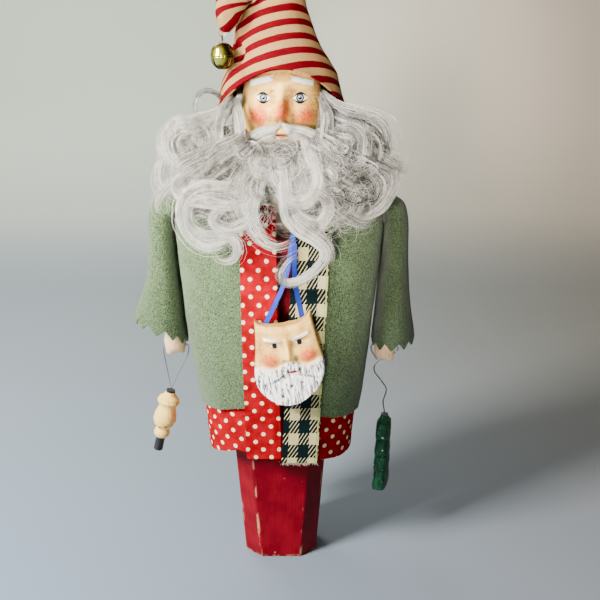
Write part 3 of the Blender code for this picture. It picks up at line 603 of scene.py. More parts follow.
COAT = [(112, 50.3, 43), (150, 56.5, 45), (190, 61, 45), (212, 63, 42)]
COAT += [(228, 64, 36), (236, 61.5, 26), (240, 52, 19), (242.5, 22, 15.5)]
ROBE = [(80.5, 46.4, 41.5), (100, 48.4, 40.8), (112, 49.2, 40.4), (150, 54.4, 42.6), (205, 60, 40.8)]
SQUARENESS = 3.0


def coat_hem(x, y):
    """The coat hangs a little higher left of the opening, and lower at its right side."""
    return (5.5 * max(0, 1 - abs(x + 0.3) / 0.7) if x < 0 else -8 * max(0, x - 0.35)) * (y < 10)


def robe_hem(x, y):
    """The robe rides up at the front left."""
    return 7 * max(0, 1 - abs(x + 0.55) / 0.45) * (y < 0)


def garment_grid(table, start, end, columns, grow=0.0, wave=1.0, seed=0.0, steps=7, hem=coat_hem):
    """A panel from neck to hem. start and end are angles, or ("x", low, high) for a front edge."""
    rows = smooth_rows(table, steps)[::-1]
    grid = np.zeros((len(rows), columns, 3))
    top, foot = rows[0][0], rows[-1][0]
    for r, (z, half_width, half_depth) in enumerate(rows):
        ends = []
        for edge in (start, end):
            if isinstance(edge, tuple):
                x = edge[1] + (edge[2] - edge[1]) * (z - foot) / (top - foot)
                share = max(-0.72, min(0.72, x / half_width))
                edge = -math.acos(math.copysign(abs(share) ** (SQUARENESS / 2), share))
            ends.append(edge)
        loose = min(1, (top - z) / 60)
        for c in range(columns):
            turn = ends[0] + (ends[1] - ends[0]) * c / (columns - 1)
            cos, sin = math.cos(turn), math.sin(turn)
            x = (half_width + grow) * math.copysign(abs(cos) ** (2 / SQUARENESS), cos)
            y = (half_depth + grow) * math.copysign(abs(sin) ** (2 / SQUARENESS), sin)
            fold = ripple(x + seed, y, z * 0.28, 17) * 1.3 + ripple(x, y + seed, z, 9) * 0.35
            push = 1 + wave * loose * fold / 50
            low = max(0, 1 - (z - foot) / 40)
            droop = ripple(x + seed, y, 0, 14) * 0.8 * low + hem(x / half_width, y) * low
            calm = 1 if abs(x) > 34 or y > 0 else 0.25
            push = 1 + (push - 1) * calm
            grid[r, c] = (x * push * MM, y * push * MM, (z + droop) * MM)
    return grid


def make_coat(mat):
    seam = 0.012
    panels = {
        "coat_back": (seam, math.pi - seam, 60),
        "coat_front_left": (-math.pi + seam, ("x", -19.5, -21), 34),
        "coat_front_right": (("x", 21, 25), -seam, 34),
    }
    for name, (start, end, columns) in panels.items():
        grid = garment_grid(COAT, start, end, columns, grow=0.2, seed=len(name) * 7.0)[:, ::-1]
        piece = cloth(name + "_felt", grid, 1.3 * MM, flat_map(grid), mat, "figure")
        stands_for(piece, "felt", name)


def make_robe(mat):
    opening = ("x", 11, 12)
    grid = garment_grid(ROBE, opening, 1.5 * math.pi, 130, wave=0.7, seed=31.0, steps=12, hem=robe_hem)
    grid = grid[:, ::-1]
    piece = cloth("robe_cotton", grid, 0.8 * MM, flat_map(grid), mat, "figure")
    stands_for(piece, "dotted", "robe")


CHEST = [(79, 42)] + [(z, depth) for z, _, depth in COAT]


def strip_grid(left, width, foot, top, offset, columns=15, rows=90, seed=0.0, wave=0.5):
    """A strip down the front. left is its left edge at the foot and at the top."""
    bent = smooth_rows(np.array(CHEST, float), 8)
    grid = np.zeros((rows, columns, 3))
    for r in range(rows):
        z = top + (foot - top) * r / (rows - 1)
        y = np.interp(z, bent[:, 0], bent[:, 1])
        slope = -np.diff(np.interp((z + 1, z - 1), bent[:, 0], bent[:, 1]))[0] / 2
        lean = Vector((0, -1, -slope)).normalized() if z > 200 else Vector((0, -1, 0))
        low = left[0] + (left[1] - left[0]) * (z - foot) / (top - foot)
        for c in range(columns):
            x = low + width * c / (columns - 1)
            lift = offset + wave * (ripple(x, seed, z * 0.5, 12) + 0.35 * ripple(x, seed, z, 5))
            sway = 0.45 * ripple(seed, 3, z, 22) + 0.15 * ripple(seed, 3, z, 5)
            point = Vector((x + sway, -y, z)) + lean * lift
            grid[r, c] = [a * MM for a in point]
    return grid


def fray(name, root, way, spread, count, length, mat, body, radius=0.1):
    """Loose threads along an edge from root, each about length long and pointing along way."""
    paths = []
    for _ in range(count):
        at = root + spread * DRAWS.random()
        aim = (way + Vector([DRAWS.gauss(0, 0.35) for _ in range(3)])).normalized()
        reach = length * DRAWS.uniform(0.4, 1.1)
        bend = Vector([DRAWS.gauss(0, 0.18) for _ in range(3)])
        paths.append([at + aim * reach * t + bend * reach * t * t for t in (-0.3, 0, 0.35, 0.7, 1)])
    return strands(name, np.array(paths), radius * MM, np.full(count, 0.5), mat, body)


def make_strips(cotton, plaid_cloth, thread, pale_thread):
    """The robe's front band, and the plaid scarf's two ends and its collar."""
    band = strip_grid((-20.4, -22.8), 21.4, 83.5, 238, 1.2, columns=17, seed=5.0, wave=0.35)
    band[:, -2:, 1] += 0.5 * MM
    piece = cloth("front_band_cotton", band, 0.8 * MM, flat_map(band), cotton, "figure")
    stands_for(piece, "dotted", "robe_front_band")
    stitches(band, 1, thread)

    for name, node, left, foot in (
        ("scarf_long_plaid", "scarf_long_end", (1.2, 9.6), 81.5),
        ("scarf_short_plaid", "scarf_short_end", (-33, -31), 231),
    ):
        grid = strip_grid(left, 22, foot, 241, 2.75, columns=17, seed=19.0 + foot, wave=0.55)
        uv = flat_map(grid, centre=0)
        piece = cloth(name, grid, 0.7 * MM, uv, plaid_cloth, "figure")
        stands_for(piece, "plaid", node)
        first = Vector(grid[-1, 0])
        run = Vector(grid[-1, -1]) - first
        loose = fray(name + "_fray", first, Vector((0, 0, -1)), run, 90, 2.2 * MM, pale_thread, "figure")

    turns = [math.tau * i / 9 for i in range(9)]
    rows = [(12.0 + 4.6 * math.cos(turn), 248.4 + 4.1 * math.sin(turn)) for turn in turns]
    grid = np.zeros((len(rows), 64, 3))
    for r, (radius, z) in enumerate(rows):
        for c in range(64):
            turn = math.tau * c / 64
            crumple = 1 + 0.07 * ripple(radius * math.cos(turn) * 2, radius * math.sin(turn) * 2, z, 6)
            x, y = radius * crumple * math.cos(turn), radius * crumple * math.sin(turn)
            grid[r, c] = (x * MM, y * MM, (z + 0.8 * ripple(x, y, 9, 7)) * MM)
    piece = ring_solid("scarf_collar_plaid", grid, plaid_cloth, "figure")
    stands_for(piece, "plaid", "scarf_collar")


def ring_solid(name, grid, mat, body):
    """A closed ring: both directions of the grid wrap round."""
    rows, columns = grid.shape[:2]
    faces, uvs = [], []
    for r in range(rows):
        for c in range(columns):
            face = [(r, c), (r + 1, c), (r + 1, c + 1), (r, c + 1)]
            faces.append([a % rows * columns + b % columns for a, b in face])
            uvs += [(b * 1.3, a * 3.0) for a, b in face]
    piece = new_piece(name, grid.reshape(-1, 3), faces, mat, body, uvs, 80)
    outward(piece)
    return piece


def outward(obj):
    """Turns a closed mesh's faces outwards."""
    bm = bmesh.new()
    bm.from_mesh(obj.data)
    bmesh.ops.recalc_face_normals(bm, faces=bm.faces)
    if bm.calc_volume(signed=True) < 0:
        bmesh.ops.reverse_faces(bm, faces=bm.faces)
    bm.to_mesh(obj.data)
    bm.free()


def stitches(grid, column, mat):
    """A row of short sunk stitches down a strip, one column in from its edge."""
    line = grid[:, column]
    dips = {t: Vector((0, -0.12 * MM * math.sin(math.pi * t), 0)) for t in (0.1, 0.3, 0.5, 0.7)}
    paths = []
    for a, b in zip(map(Vector, line), map(Vector, line[1:])):
        paths.append([a.lerp(b, t) + dip for t, dip in dips.items()])
    rows = strands("front_band_stitches", np.array(paths), 0.16 * MM, np.full(len(paths), 0.5), mat, "figure")


def strands(name, paths, radius, shades, mat, body):
    """Many fine tapering tubes of three sides in one mesh: paths is strands by points by xyz, in metres."""
    count, points, _ = paths.shape
    way = np.gradient(paths, axis=1)
    way /= np.maximum(np.linalg.norm(way, axis=2, keepdims=True), 1e-12)
    side = np.cross(way, np.array([0.31, 0.78, 0.54]))
    side /= np.maximum(np.linalg.norm(side, axis=2, keepdims=True), 1e-12)
    up = np.cross(way, side)
    reach = np.linspace(0, 1, points)
    width = radius * np.minimum(1, 0.5 + reach * 4) * np.minimum(1, (1.03 - reach) * 5)
    corners = (0, math.tau / 3, 2 * math.tau / 3)
    ring = [paths + width[None, :, None] * (side * math.cos(a) + up * math.sin(a)) for a in corners]
    verts = np.stack(ring, axis=2).reshape(-1, 3)
    start = np.arange(count)[:, None, None] * points * 3 + np.arange(points - 1)[None, :, None] * 3
    here, after = np.arange(3)[None, None, :], np.array([1, 2, 0])[None, None, :]
    near, far = start + here, start + after
    quads = np.stack([near, far, far + 3, near + 3], axis=3).reshape(-1, 4)
    first = np.arange(count)[:, None] * points * 3
    caps = np.concatenate([first + np.array([2, 1, 0]), first + (points - 1) * 3 + np.array([0, 1, 2])])
    mesh = bpy.data.meshes.new(name)
    mesh.vertices.add(len(verts))
    mesh.vertices.foreach_set("co", verts.astype(np.float32).ravel())
    loops = np.concatenate([quads.ravel(), caps.ravel()])
    mesh.loops.add(len(loops))
    mesh.loops.foreach_set("vertex_index", loops.astype(np.int32))
    mesh.polygons.add(len(quads) + len(caps))
    starts = np.concatenate([np.arange(len(quads)) * 4, len(quads) * 4 + np.arange(len(caps)) * 3])
    mesh.polygons.foreach_set("loop_start", starts.astype(np.int32))
    mesh.update(calc_edges=True)
    mesh.validate()
    mesh.shade_smooth()
    obj = new_object(name, mesh, mat, body)
    set_values(obj, "shade", np.repeat(np.asarray(shades, float), points * 3))
    return obj


# ---- sleeves: rows of (z, inner x, outer x, half depth) in millimetres, from shoulder to cuff

SLEEVES = {
    "left": [(241.3, 50, 70, 4), (240, 50, 74, 11), (236.5, 56, 78.5, 15), (230, 63.4, 80.5, 17)]
    + [(222, 64.6, 81.3, 18), (205, 63.8, 82.2, 19), (185, 62, 85, 20)]
    + [(170, 60.6, 88.8, 21), (157, 59.4, 92.4, 21.6)],
    "right": [(241.3, 50, 69, 4), (240, 50, 73, 11), (236.5, 56, 77.5, 15), (230, 63.4, 79.5, 17)]
    + [(222, 64.6, 80.3, 18), (205, 63.8, 80.6, 19), (185, 62, 81.6, 20)]
    + [(165, 60.4, 83.4, 21), (149.5, 58.6, 85.4, 21.6)],
}


def make_sleeve(side, sign, mat):
    """A felt sleeve with a pinked, flaring cuff. Its shoulder is sewn to the coat."""
    rows = smooth_rows(SLEEVES[side], 7)
    columns = 72
    grid = np.zeros((len(rows), columns, 3))
    length = rows[0][0] - rows[-1][0]
    teeth = 12 if side == "left" else 11
    for r, (z, low, high, half) in enumerate(rows):
        middle, width = (low + high) / 2, (high - low) / 2
        down = (rows[0][0] - z) / length
        for c in range(columns):
            turn = math.tau * c / columns
            cos, sin = math.cos(turn), math.sin(turn)
            x = middle + width * math.copysign(abs(cos) ** 0.85, cos)
            y = half * math.copysign(abs(sin) ** 0.8, sin)
            fold = (ripple(x * sign, y, z * 0.35, 13) * 1.2 + ripple(x * sign, y, z, 6) * 0.3) * down
            if cos > -0.4:
                x += fold
            y += fold * sin
            jag = abs((turn * teeth / math.tau) % 1 - 0.5) * 2
            edge = max(0, (down - 0.93) / 0.07)
            slant = (8 * cos - 3 * sin) * (side == "left") + 1.5 * cos * (side == "right")
            drop = edge * (jag * 5.2 + 1.6 * ripple(x, y, 0, 8) - 2) - slant * max(0, down - 0.5) * 2
            grid[r, c] = (sign * x * MM, y * MM, (z - drop) * MM)
    if sign > 0:
        grid = grid[:, ::-1]
    uv = flat_map(grid, wrap=True)
    piece = cloth(f"sleeve_{side}_felt", grid, 1.2 * MM, uv, mat, None, wrap=True, sharp=60)
    close_top(piece, columns)
    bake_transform(piece)
    stands_for(piece, "felt", f"sleeve_{side}")


def close_top(obj, columns):
    """Sews a sleeve's narrow upper opening shut along its ridge, inner and outer face alike."""
    mesh = obj.data
    for half in (0, len(mesh.vertices) // 2):
        for c in range(columns):
            mesh.vertices[half + c].co.y *= 0.2


# ---- ribbons


def ribbon(name, points, width, facing, mat, body, twist=0.0, thick=0.35):
    """A ribbon along the points, in millimetres, its flat side towards facing, twisting as it goes."""
    path = smooth_rows(points, 10)
    way = np.gradient(path, axis=0)
    grid = np.zeros((len(path), 7, 3))
    for r, (at, run) in enumerate(zip(path, way)):
        run = Vector(run).normalized()
        across = run.cross(Vector(facing)).normalized()
        across = Matrix.Rotation(twist * math.sin(math.pi * r / (len(path) - 1)), 3, run) @ across
        for c in range(7):
            grid[r, c] = (Vector(at) + across * width * (c / 6 - 0.5)) * MM
    return cloth(name, grid, thick * MM, flat_map(grid), mat, body)


def make_ribbons(mat):
    apex = Vector((8.7, -49.6, 222.5))
    plans = {
        "left": ((-0.6, 0.2, 0), (-5.2, -1.6, -23), (-17.6, 0.6, -51.5), 0.6),
        "right": ((0.8, -0.2, 0), (1.4, -1.2, -22), (5.6, 0.6, -46), -0.5),
    }
    for side, (start, middle, end, twist) in plans.items():
        points = [apex + Vector(p) for p in (start, middle, end)]
        piece = ribbon(f"ribbon_{side}_satin", points, 3.1, (0, -1, 0.1), mat, "pendant", twist)
        stands_for(piece, "satin", f"ribbon_{side}")
    fall = [(8.7, -15, 256.2), (8.9, -20.5, 252.2), (9, -27, 245.6), (8.8, -36, 237.6), (8.7, -45.4, 227.6)]
    fall += [(8.7, -49.0, 222.6)]
    piece = ribbon("ribbon_neck_satin", fall, 3.2, (0, -0.6, 0.8), mat, "figure")
    stands_for(piece, "satin", "ribbon_neck")
    grid = np.zeros((6, 48, 3))
    for r in range(6):
        turn = math.tau * r / 6
        for c in range(48):
            round_it = math.tau * c / 48
            radius = 8.3 + 0.5 * math.cos(turn)
            at = (radius * math.cos(round_it), radius * math.sin(round_it), 255.2 + 1.5 * math.sin(turn))
            grid[r, c] = [a * MM for a in at]
    piece = ring_solid("ribbon_collar_satin", grid, mat, "figure")
    stands_for(piece, "satin", "ribbon_collar")


# ---- sculpted faces


def bump_at(x, z, cx, cz, rx, rz, height):
    """A smooth hill of the given radii, zero well outside them."""
    d = ((x - cx) / rx) ** 2 + ((z - cz) / rz) ** 2
    return height * math.exp(-d)


def head_relief(x, z):
    """How far the face stands out, in millimetres, at x from its middle and height z."""
    side = abs(x)
    h = bump_at(side, z, 9, 312.5, 8.5, 2.6, 1.5) + bump_at(side, z, 0, 309, 3.4, 4, 0.9)
    h += bump_at(side, z, EYE_SPREAD, EYE_Z, 6.2, 4.2, -2.0)
    h += bump_at(side, z, EYE_SPREAD, EYE_Z, 4.4, 2.3, 1.7)
    h += bump_at(side, z, 0, 301, 2.7, 7.5, 3.6) + bump_at(side, z, 0, 294.2, 3.9, 4.1, 6.0)
    h += bump_at(side, z, 4.4, 292.8, 2.2, 2.6, 2.6) + bump_at(side, z, 2.3, 290.2, 1.2, 0.8, -1.0)
    h += 1.3 * math.exp(-(((side - 11.8) / 7.4) ** 8) - ((z - 313.6 + 0.24 * (side - 5.2)) / 1.9) ** 4)
    h += bump_at(side, z, 12.6, 292.4, 6.2, 5.4, 2.7)
    h += bump_at(side, z, 7.6, 288.0, 2.0, 5.0, -0.9)
    h += bump_at(side, z, 0, 282.6, 5.4, 1.4, 1.3) + bump_at(side, z, 0, 279.2, 5.0, 1.6, 1.6)
    h += bump_at(side, z, 0, 281.0, 5.8, 0.6, -1.2) + bump_at(side, z, 0, 271, 7, 5, 2.4)
    for z0 in (316.2, 319.0):
        h += bump_at(side, z + 0.04 * side, 0, z0, 13, 0.6, -0.5)
    return h


def make_head(mat):
    girth, tall, middle = 24.6, 34.6, 294  # half widths and half height, and the height of its middle, mm
    rows, columns = 150, 200
    verts, hollow = [], []
    for r in range(rows + 1):
        t = math.pi * r / rows
        z = tall * math.cos(t)
        across = math.sin(t) ** 0.86
        jaw = 1 - 0.12 * max(0, -z / tall)
        for k in range(columns):
            turn = math.tau * k / columns
            x = girth * across * jaw * math.cos(turn)
            y = girth * across * math.sin(turn)
            front = max(0, -math.sin(turn)) ** 0.6 * (turn > math.pi)
            relief = head_relief(x, middle + z) * front
            # a faint ripple in the head's waxed surface
            wax_and_painted_shade = ripple(x, y, z, 3) * 0.12
            verts.append(((FACE_X + x) * MM, (y - relief - wax_and_painted_shade) * MM, (middle + z) * MM))
            hollow.append(head_painted_shade(x, middle + z) * (front > 0.2))
    faces = []
    for r in range(rows):
        for k in range(columns):
            j = (k + 1) % columns
            faces.append((r * columns + k, (r + 1) * columns + k, (r + 1) * columns + j, r * columns + j))
    piece = new_piece("head_carved", verts, faces, mat, "figure", sharp=80)
    set_values(piece, "hollow", hollow)
    outward(piece)
    weld(piece)
    stands_for(piece, "skin", "head")


def head_painted_shade(x, z):
    """Where shade is painted onto the face, 0 to 1: its creases, round the eyes and nose, and its sides."""
    side = abs(x)
    h = bump_at(side, z, 5.6, 304, 2.6, 6, 0.75) + bump_at(side, z, 6.6, 290.5, 1.6, 4, 0.8)
    h += bump_at(side, z, 2.6, 289.6, 1.8, 1.1, 0.9) + bump_at(side, z, 25, 296, 4, 16, 0.7)
    h += bump_at(side, z, EYE_SPREAD, 306.4, 6, 1.3, 0.55) + bump_at(side, z, EYE_SPREAD, 298.8, 5, 1.0, 0.45)
    h += bump_at(side, z, 0, 316.6, 14, 1.2, 0.5) + bump_at(side, z, 0, 286.4, 5, 1.6, 0.6)
    h += bump_at(side, z, 6, 281, 1.6, 1.6, 0.9)
    return min(1, h)


def weld(obj, within=1e-6):
    bm = bmesh.new()
    bm.from_mesh(obj.data)
    bmesh.ops.remove_doubles(bm, verts=bm.verts, dist=within)
    bm.to_mesh(obj.data)
    bm.free()


MASK_TILT = math.radians(10)
MASK_ROWS, MASK_COLUMNS = 130, 100
# share of the height, half width, middle's shift to the left
MASK_OUTLINE = [(0, 16.8, 0), (0.12, 17.4, 0.1), (0.3, 18.8, 0.4), (0.55, 21, 1.2)]
MASK_OUTLINE += [(0.7, 20.6, 2), (0.82, 17.8, 2.7), (0.92, 12.6, 3.4), (1, 5, 4)]


def mask_relief(p, q):
    """The mask's height over its plate, in millimetres, at p across and q down from its top."""
    side = abs(p)
    h = 3.6 * max(0, 1 - (p / 23) ** 2) + 0.6
    h += bump_at(side, q, 7.2, -11.4, 5.4, 1.8, 1.7) + bump_at(side, q, 7.4, -MASK_EYE, 4.0, 2.6, -1.3)
    h += bump_at(side, q, 7.4, -MASK_EYE, 2.6, 1.5, 0.9)
    h += bump_at(side, q, 0, -17, 1.9, 6.5, 2.6) + bump_at(side, q, 0, -22.6, 2.7, 2.8, 3.4)
    h += bump_at(side, q, 3.0, -23.4, 1.5, 1.5, 1.4)
    h += bump_at(side, q, 11.2, -22.8, 5.4, 4.6, 2.2)
    h += bump_at(side, q, 0, -7, 12, 3, 0.7) - bump_at(side, q, 0, -4, 9, 1.4, 0.5)
    return h


def make_mask(mat):
    """A modelled clay face with a carved beard, its top edge a shallow dip between two raised corners."""
    middle = Vector((2.6, -50.9, 178.6))
    turn = Matrix.Rotation(-MASK_TILT, 3, "Y")
    height = 54.0
    curve = smooth_rows(np.array(MASK_OUTLINE), 8)
    verts, uvs, hollow, beard, groove = [], [], [], [], []
    for depth in (0, 1):
        for r in range(MASK_ROWS + 1):
            t = r / MASK_ROWS
            half = np.interp(t, curve[:, 0], curve[:, 1])
            shift = np.interp(t, curve[:, 0], curve[:, 2])
            for c in range(MASK_COLUMNS + 1):
                s = 2 * c / MASK_COLUMNS - 1
                p = s * half - shift
                dip = 3.4 * (1 - s * s) ** 0.8 * (1 - t) ** 4 - 2.2 * abs(s) ** 6 * (1 - t) ** 6
                chin = 2.2 * (abs(s) ** 3) * t**6
                q = -t * height - dip + chin + 0.5 * ripple(p, 5, t * 40, 6) * (1 - t) ** 6
                line = -26.4 - 2.6 * math.exp(-((abs(p) - 10) ** 2) / 26) - 0.04 * abs(p)
                line += 1.2 * math.exp(-((p / 3.2) ** 2))
                hair = 1 / (1 + math.exp((q - line) / 0.5))
                strand = ripple(p * 2.4 + 3 * ripple(p, q, 3, 7), 1, q * 0.42, 2.0)
                furrow = max(0, -strand) * hair
                parting = bump_at(abs(p), q + 0.2 * abs(p) ** 1.2, 8, -33.4, 8, 0.9, 1.0) * hair
                mouth = bump_at(p, q, 0.6, MASK_MOUTH, 3.2, 1.1, 1.0)
                out = mask_relief(p, q) + hair * (1.5 + 0.85 * strand) - 1.1 * parting - 1.2 * mouth
                edge = min(1, (1 - abs(s)) * half / 1.4, t * height / 1.2 + 0.15, (1 - t) * height / 1.6)
                out = 0.4 + out * math.sin(math.pi / 2 * max(0, edge)) ** 0.6
                y = -2.4 - out if depth else 0.55 * max(0, 1 - s * s)
                local = turn @ Vector((p, 0, q))
                verts.append((middle + local + Vector((0, y, 0))) * MM)
                uvs.append((p, q))
                side = abs(p)
                # painted shade: darker in the mask's hollows, round its eyes and nose, and towards its rim
                dark = bump_at(side, q, 3.2, -14.4, 1.8, 4.0, 0.8)
                dark += bump_at(side, q, 3.6, -24.4, 1.4, 2.6, 0.9)
                dark += bump_at(side, q, 7.4, -17.4, 3.2, 0.9, 0.5) + bump_at(side, q, 0, -9.5, 1.2, 3.4, 0.5)
                dark += max(0, 1 - edge * 1.3) * 0.9 + bump_at(side, q, 15.5, -16, 2.2, 8, 0.5)
                hollow.append(min(1, dark) if depth else 0.6)
                beard.append(hair if depth else 0)
                groove.append(min(1, furrow * 2.6 + parting * 0.9) if depth else 0)
    columns = MASK_COLUMNS + 1
    layer = (MASK_ROWS + 1) * columns
    faces = []
    for r in range(MASK_ROWS):
        for c in range(MASK_COLUMNS):
            a = r * columns + c
            quad = (a, a + 1, a + columns + 1, a + columns)
            faces += [quad, tuple(layer + i for i in quad[::-1])]
    rim = list(range(MASK_COLUMNS))
    rim += [r * columns + MASK_COLUMNS for r in range(MASK_ROWS)]
    rim += [MASK_ROWS * columns + c for c in range(MASK_COLUMNS, 0, -1)]
    rim += [r * columns for r in range(MASK_ROWS, 0, -1)]
    for a, b in zip(rim, rim[1:] + rim[:1]):
        faces.append((a, layer + a, layer + b, b))
    corner_uvs = [uvs[i] for face in faces for i in face]
    piece = new_piece("mask_clay", verts, faces, mat, "mask", corner_uvs, sharp=70)
    for name, values in (("hollow", hollow), ("beard", beard), ("groove", groove)):
        set_values(piece, name, values)
    outward(piece)
    stands_for(piece, "mask_clay", "mask_face")


# ---- hat: rows of (centre x, y, z, half width, half depth) in millimetres, from brow to tip

HAT = [(-0.2, 3, 311, 31.6, 29), (-2, 3, 328, 25.8, 23.5), (-2.9, 2.8, 345, 21.2, 18.6)]
HAT += [(-3.4, 1.5, 357, 17.4, 15.5), (-7, -2.5, 366, 13.6, 12.6), (-14.5, -8, 368.6, 10.2, 9.6)]
HAT += [(-21.5, -12, 364.5, 9.2, 8), (-26.4, -14.6, 356, 8.2, 7)]
HAT += [(-28.8, -15.2, 347, 6.2, 5.6), (-31, -15, 339.6, 2.2, 2.2)]
CONE = 0.358  # sine of the hat's half angle: how much of a turn the flat cloth spans


def make_hat(mat):
    """A cone of striped cloth, cut flat and rolled, folded over to one side."""
    rows = smooth_rows(HAT, 9)
    columns = 120
    grid = np.zeros((len(rows) + 8, columns, 3))
    way = np.gradient(rows[:, :3], axis=0)
    for r, (x0, y0, z0, half_width, half_depth) in enumerate(rows):
        run = Vector((way[r][0], 0, way[r][2])).normalized()
        side = Vector((run.z, 0, -run.x))
        bend = math.exp(-(((r / len(rows)) - 0.5) / 0.16) ** 2)
        for c in range(columns):
            turn = math.tau * c / columns
            cos, sin = math.cos(turn), math.sin(turn)
            crease = bump_at(turn, r, 3.75, 9, 0.2, 10, 2.2)
            crease -= bump_at(turn, r, 3.32, 12, 0.22, 10, 1.7)
            crease += bend * 1.1 * math.sin(9 * turn + r * 0.5) * (0.3 + 0.7 * (cos < 0))
            crease += 0.8 * ripple(half_width * cos, half_width * sin, z0 * 0.5, 12)
            crease += 0.25 * ripple(cos * 9, sin * 9, z0, 5)
            at = Vector((x0, y0, z0)) + side * (half_width + crease) * cos
            grid[r + 8, c] = (at.x * MM, (at.y + (half_depth + crease) * sin) * MM, at.z * MM)
    crown = 26
    for c in range(columns):
        turn = math.tau * c / columns
        cos, sin = math.cos(turn), math.sin(turn)
        foot_z = 295.5 + 1.5 * cos + (23.5 if sin < 0 else -8) * sin * sin
        foot_z += 0.5 * ripple(cos * 30, sin * 30, 2, 9)
        foot = np.array((1.2 + 37.6 * cos, 3 + 33.6 * sin, foot_z)) * MM
        wall = grid[8 : crown + 1, c].copy()
        flare = foot - [np.interp(foot[2], wall[:, 2], wall[:, k]) for k in range(3)]
        for r in range(crown):
            t = r / crown
            z = foot[2] + t * (wall[-1, 2] - foot[2])
            at = np.array([np.interp(z, wall[:, 2], wall[:, k]) for k in range(2)])
            grid[r, c] = (*(at + flare[:2] * (1 - t) ** 2.2), z)
    away = grid - np.array((-27, -15, 327.2)) * MM  # from the bell's centre when it swings towards the hat
    gap = np.linalg.norm(away, axis=2, keepdims=True)
    grid += away / gap * np.maximum(0, 9.4 * MM - gap)
    loop = np.concatenate([grid, grid[:, :1]], axis=1)
    middle = grid.mean(axis=1)
    reach = np.linalg.norm(np.diff(middle, axis=0), axis=1)[::-1].cumsum()[::-1] / MM
    reach = np.append(reach, 0) + 5
    uv = np.zeros((len(grid), columns + 1, 2))
    tail = len(grid) * 0.6
    for r in range(len(grid)):
        skew = -0.95 * min(1, max(0, r - tail) / (0.25 * len(grid)))
        for c in range(columns + 1):
            turn = math.tau * c / columns - 1.5 * math.pi
            spread = CONE * ((turn + math.tau if c < columns // 4 else turn) - 0.5) + skew
            below = max(0, grid[crown, c % columns, 2] - loop[r, c, 2]) / MM * (r < crown)
            far = reach[max(r, crown)] + below
            uv[r, c] = (far * math.sin(spread), far * math.cos(spread))
    piece = cloth("hat_striped", grid[::-1], 1.1 * MM, uv[::-1], mat, "figure", wrap=True, sharp=70)
    close_tip(piece, columns)
    stands_for(piece, "stripe", "hat_cloth")
    slant = reach[0] * MM
    area = math.pi * CONE * slant**2
    flat = (2 * slant * math.sin(math.pi * CONE), slant)


def close_tip(obj, columns):
    """Draws a hat's tip together, outer and inner face alike."""
    mesh = obj.data
    for half in (0, len(mesh.vertices) // 2):
        ring = [mesh.vertices[half + c] for c in range(columns)]
        middle = sum((v.co for v in ring), Vector()) / columns
        for v in ring:
            v.co = middle.lerp(v.co, 0.08)


def make_stuffing(mat):
    """Loose fibre in the crown, a lumpy mass that nothing shows from outside."""
    bm = bmesh.new()
    bmesh.ops.create_icosphere(bm, subdivisions=4, radius=1)
    for v in bm.verts:
        lump = 1 + 0.08 * noise.noise(v.co * 3)
        x, y, z = (a * lump for a in v.co)
        v.co = Vector((2.6 + 15.5 * x, 2.6 + 15 * y, 337.5 + 5.4 * z)) * MM
    mesh = bpy.data.meshes.new("hat_fibre")
    bm.to_mesh(mesh)
    bm.free()
    stands_for(new_object("hat_fibre", mesh, mat, "figure"), "fibrefill", "hat_stuffing")


# ---- bell

BELL = Vector((-32, -15, 333.6 - 7.75))  # centre, mm


def bell_cup(name, sign, node, mat):
    """Half of a pressed jingle bell: a rolled lip at its middle, and crossed slots below."""
    profile = []
    for i in range(15):
        turn = math.pi / 2 * i / 14
        profile.append((7 * math.cos(turn) ** 0.8 if i < 14 else 0.02, sign * (0.15 + 7.55 * math.sin(turn))))
    profile = [(7.0, sign * 0.15), (7.15, sign * 0.3), (7.15, sign * 0.6), (7.0, sign * 0.85)] + profile[2:]
    inner = [(max(0.01, r - 0.6), h - sign * 0.5 * abs(h) / 8) for r, h in reversed(profile[3:])]
    inner.append((6.4, sign * 0.15))
    loop = profile + inner
    columns = 72
    verts = [
        ((BELL.x + r * math.cos(t)) * MM, (BELL.y + r * math.sin(t)) * MM, (BELL.z + h) * MM)
        for r, h in loop
        for t in (math.tau * c / columns for c in range(columns))
    ]
    faces = []
    count = len(loop)
    for r in range(count):
        for c in range(columns):
            a, b = r * columns, (r + 1) % count * columns
            faces.append((a + c, a + (c + 1) % columns, b + (c + 1) % columns, b + c))
    piece = new_piece(name, verts, faces, mat, "bell", sharp=50)
    outward(piece)
    if sign < 0:
        for turn in (-0.72, -0.72 + math.pi / 2):  # the two crossed slots
            bm = bmesh.new()
            place = Matrix.Translation(BELL * MM) @ Matrix.Rotation(turn, 4, "Z")
            place = place @ Matrix.Translation((0, 0, -5.6 * MM))
            place = place @ Matrix.Diagonal((16 * MM, 1.5 * MM, 8.8 * MM, 1))
            bmesh.ops.create_cube(bm, size=1, matrix=place)
            cutter_mesh = bpy.data.meshes.new("bell_slot")
            bm.to_mesh(cutter_mesh)
            bm.free()
            cutter = bpy.data.objects.new("bell_slot", cutter_mesh)
            bpy.context.scene.collection.objects.link(cutter)
            cut = piece.modifiers.new("slot", "BOOLEAN")
            cut.object = cutter
            apply_modifiers(piece)
            bpy.data.objects.remove(cutter)
    stands_for(piece, "brass", node)


def apply_modifiers(obj):
    """Writes what the modifiers make into the mesh."""
    made = bpy.data.meshes.new_from_object(obj.evaluated_get(bpy.context.evaluated_depsgraph_get()))
    obj.modifiers.clear()
    old = obj.data
    obj.data = made
    bpy.data.meshes.remove(old)


def tube(name, points, radius, mat, body, cyclic=False):
    curve = bpy.data.curves.new(name, "CURVE")
    curve.dimensions = "3D"
    curve.bevel_depth = radius * MM
    curve.bevel_resolution = 4
    curve.use_fill_caps = True
    spline = curve.splines.new("NURBS")
    spline.points.add(len(points) - 1)
    for slot, point in zip(spline.points, points):
        slot.co = (*(Vector(point) * MM), 1)
    spline.use_cyclic_u = cyclic
    spline.use_endpoint_u = not cyclic
    spline.order_u = 4
    return new_object(name, curve, mat, body)


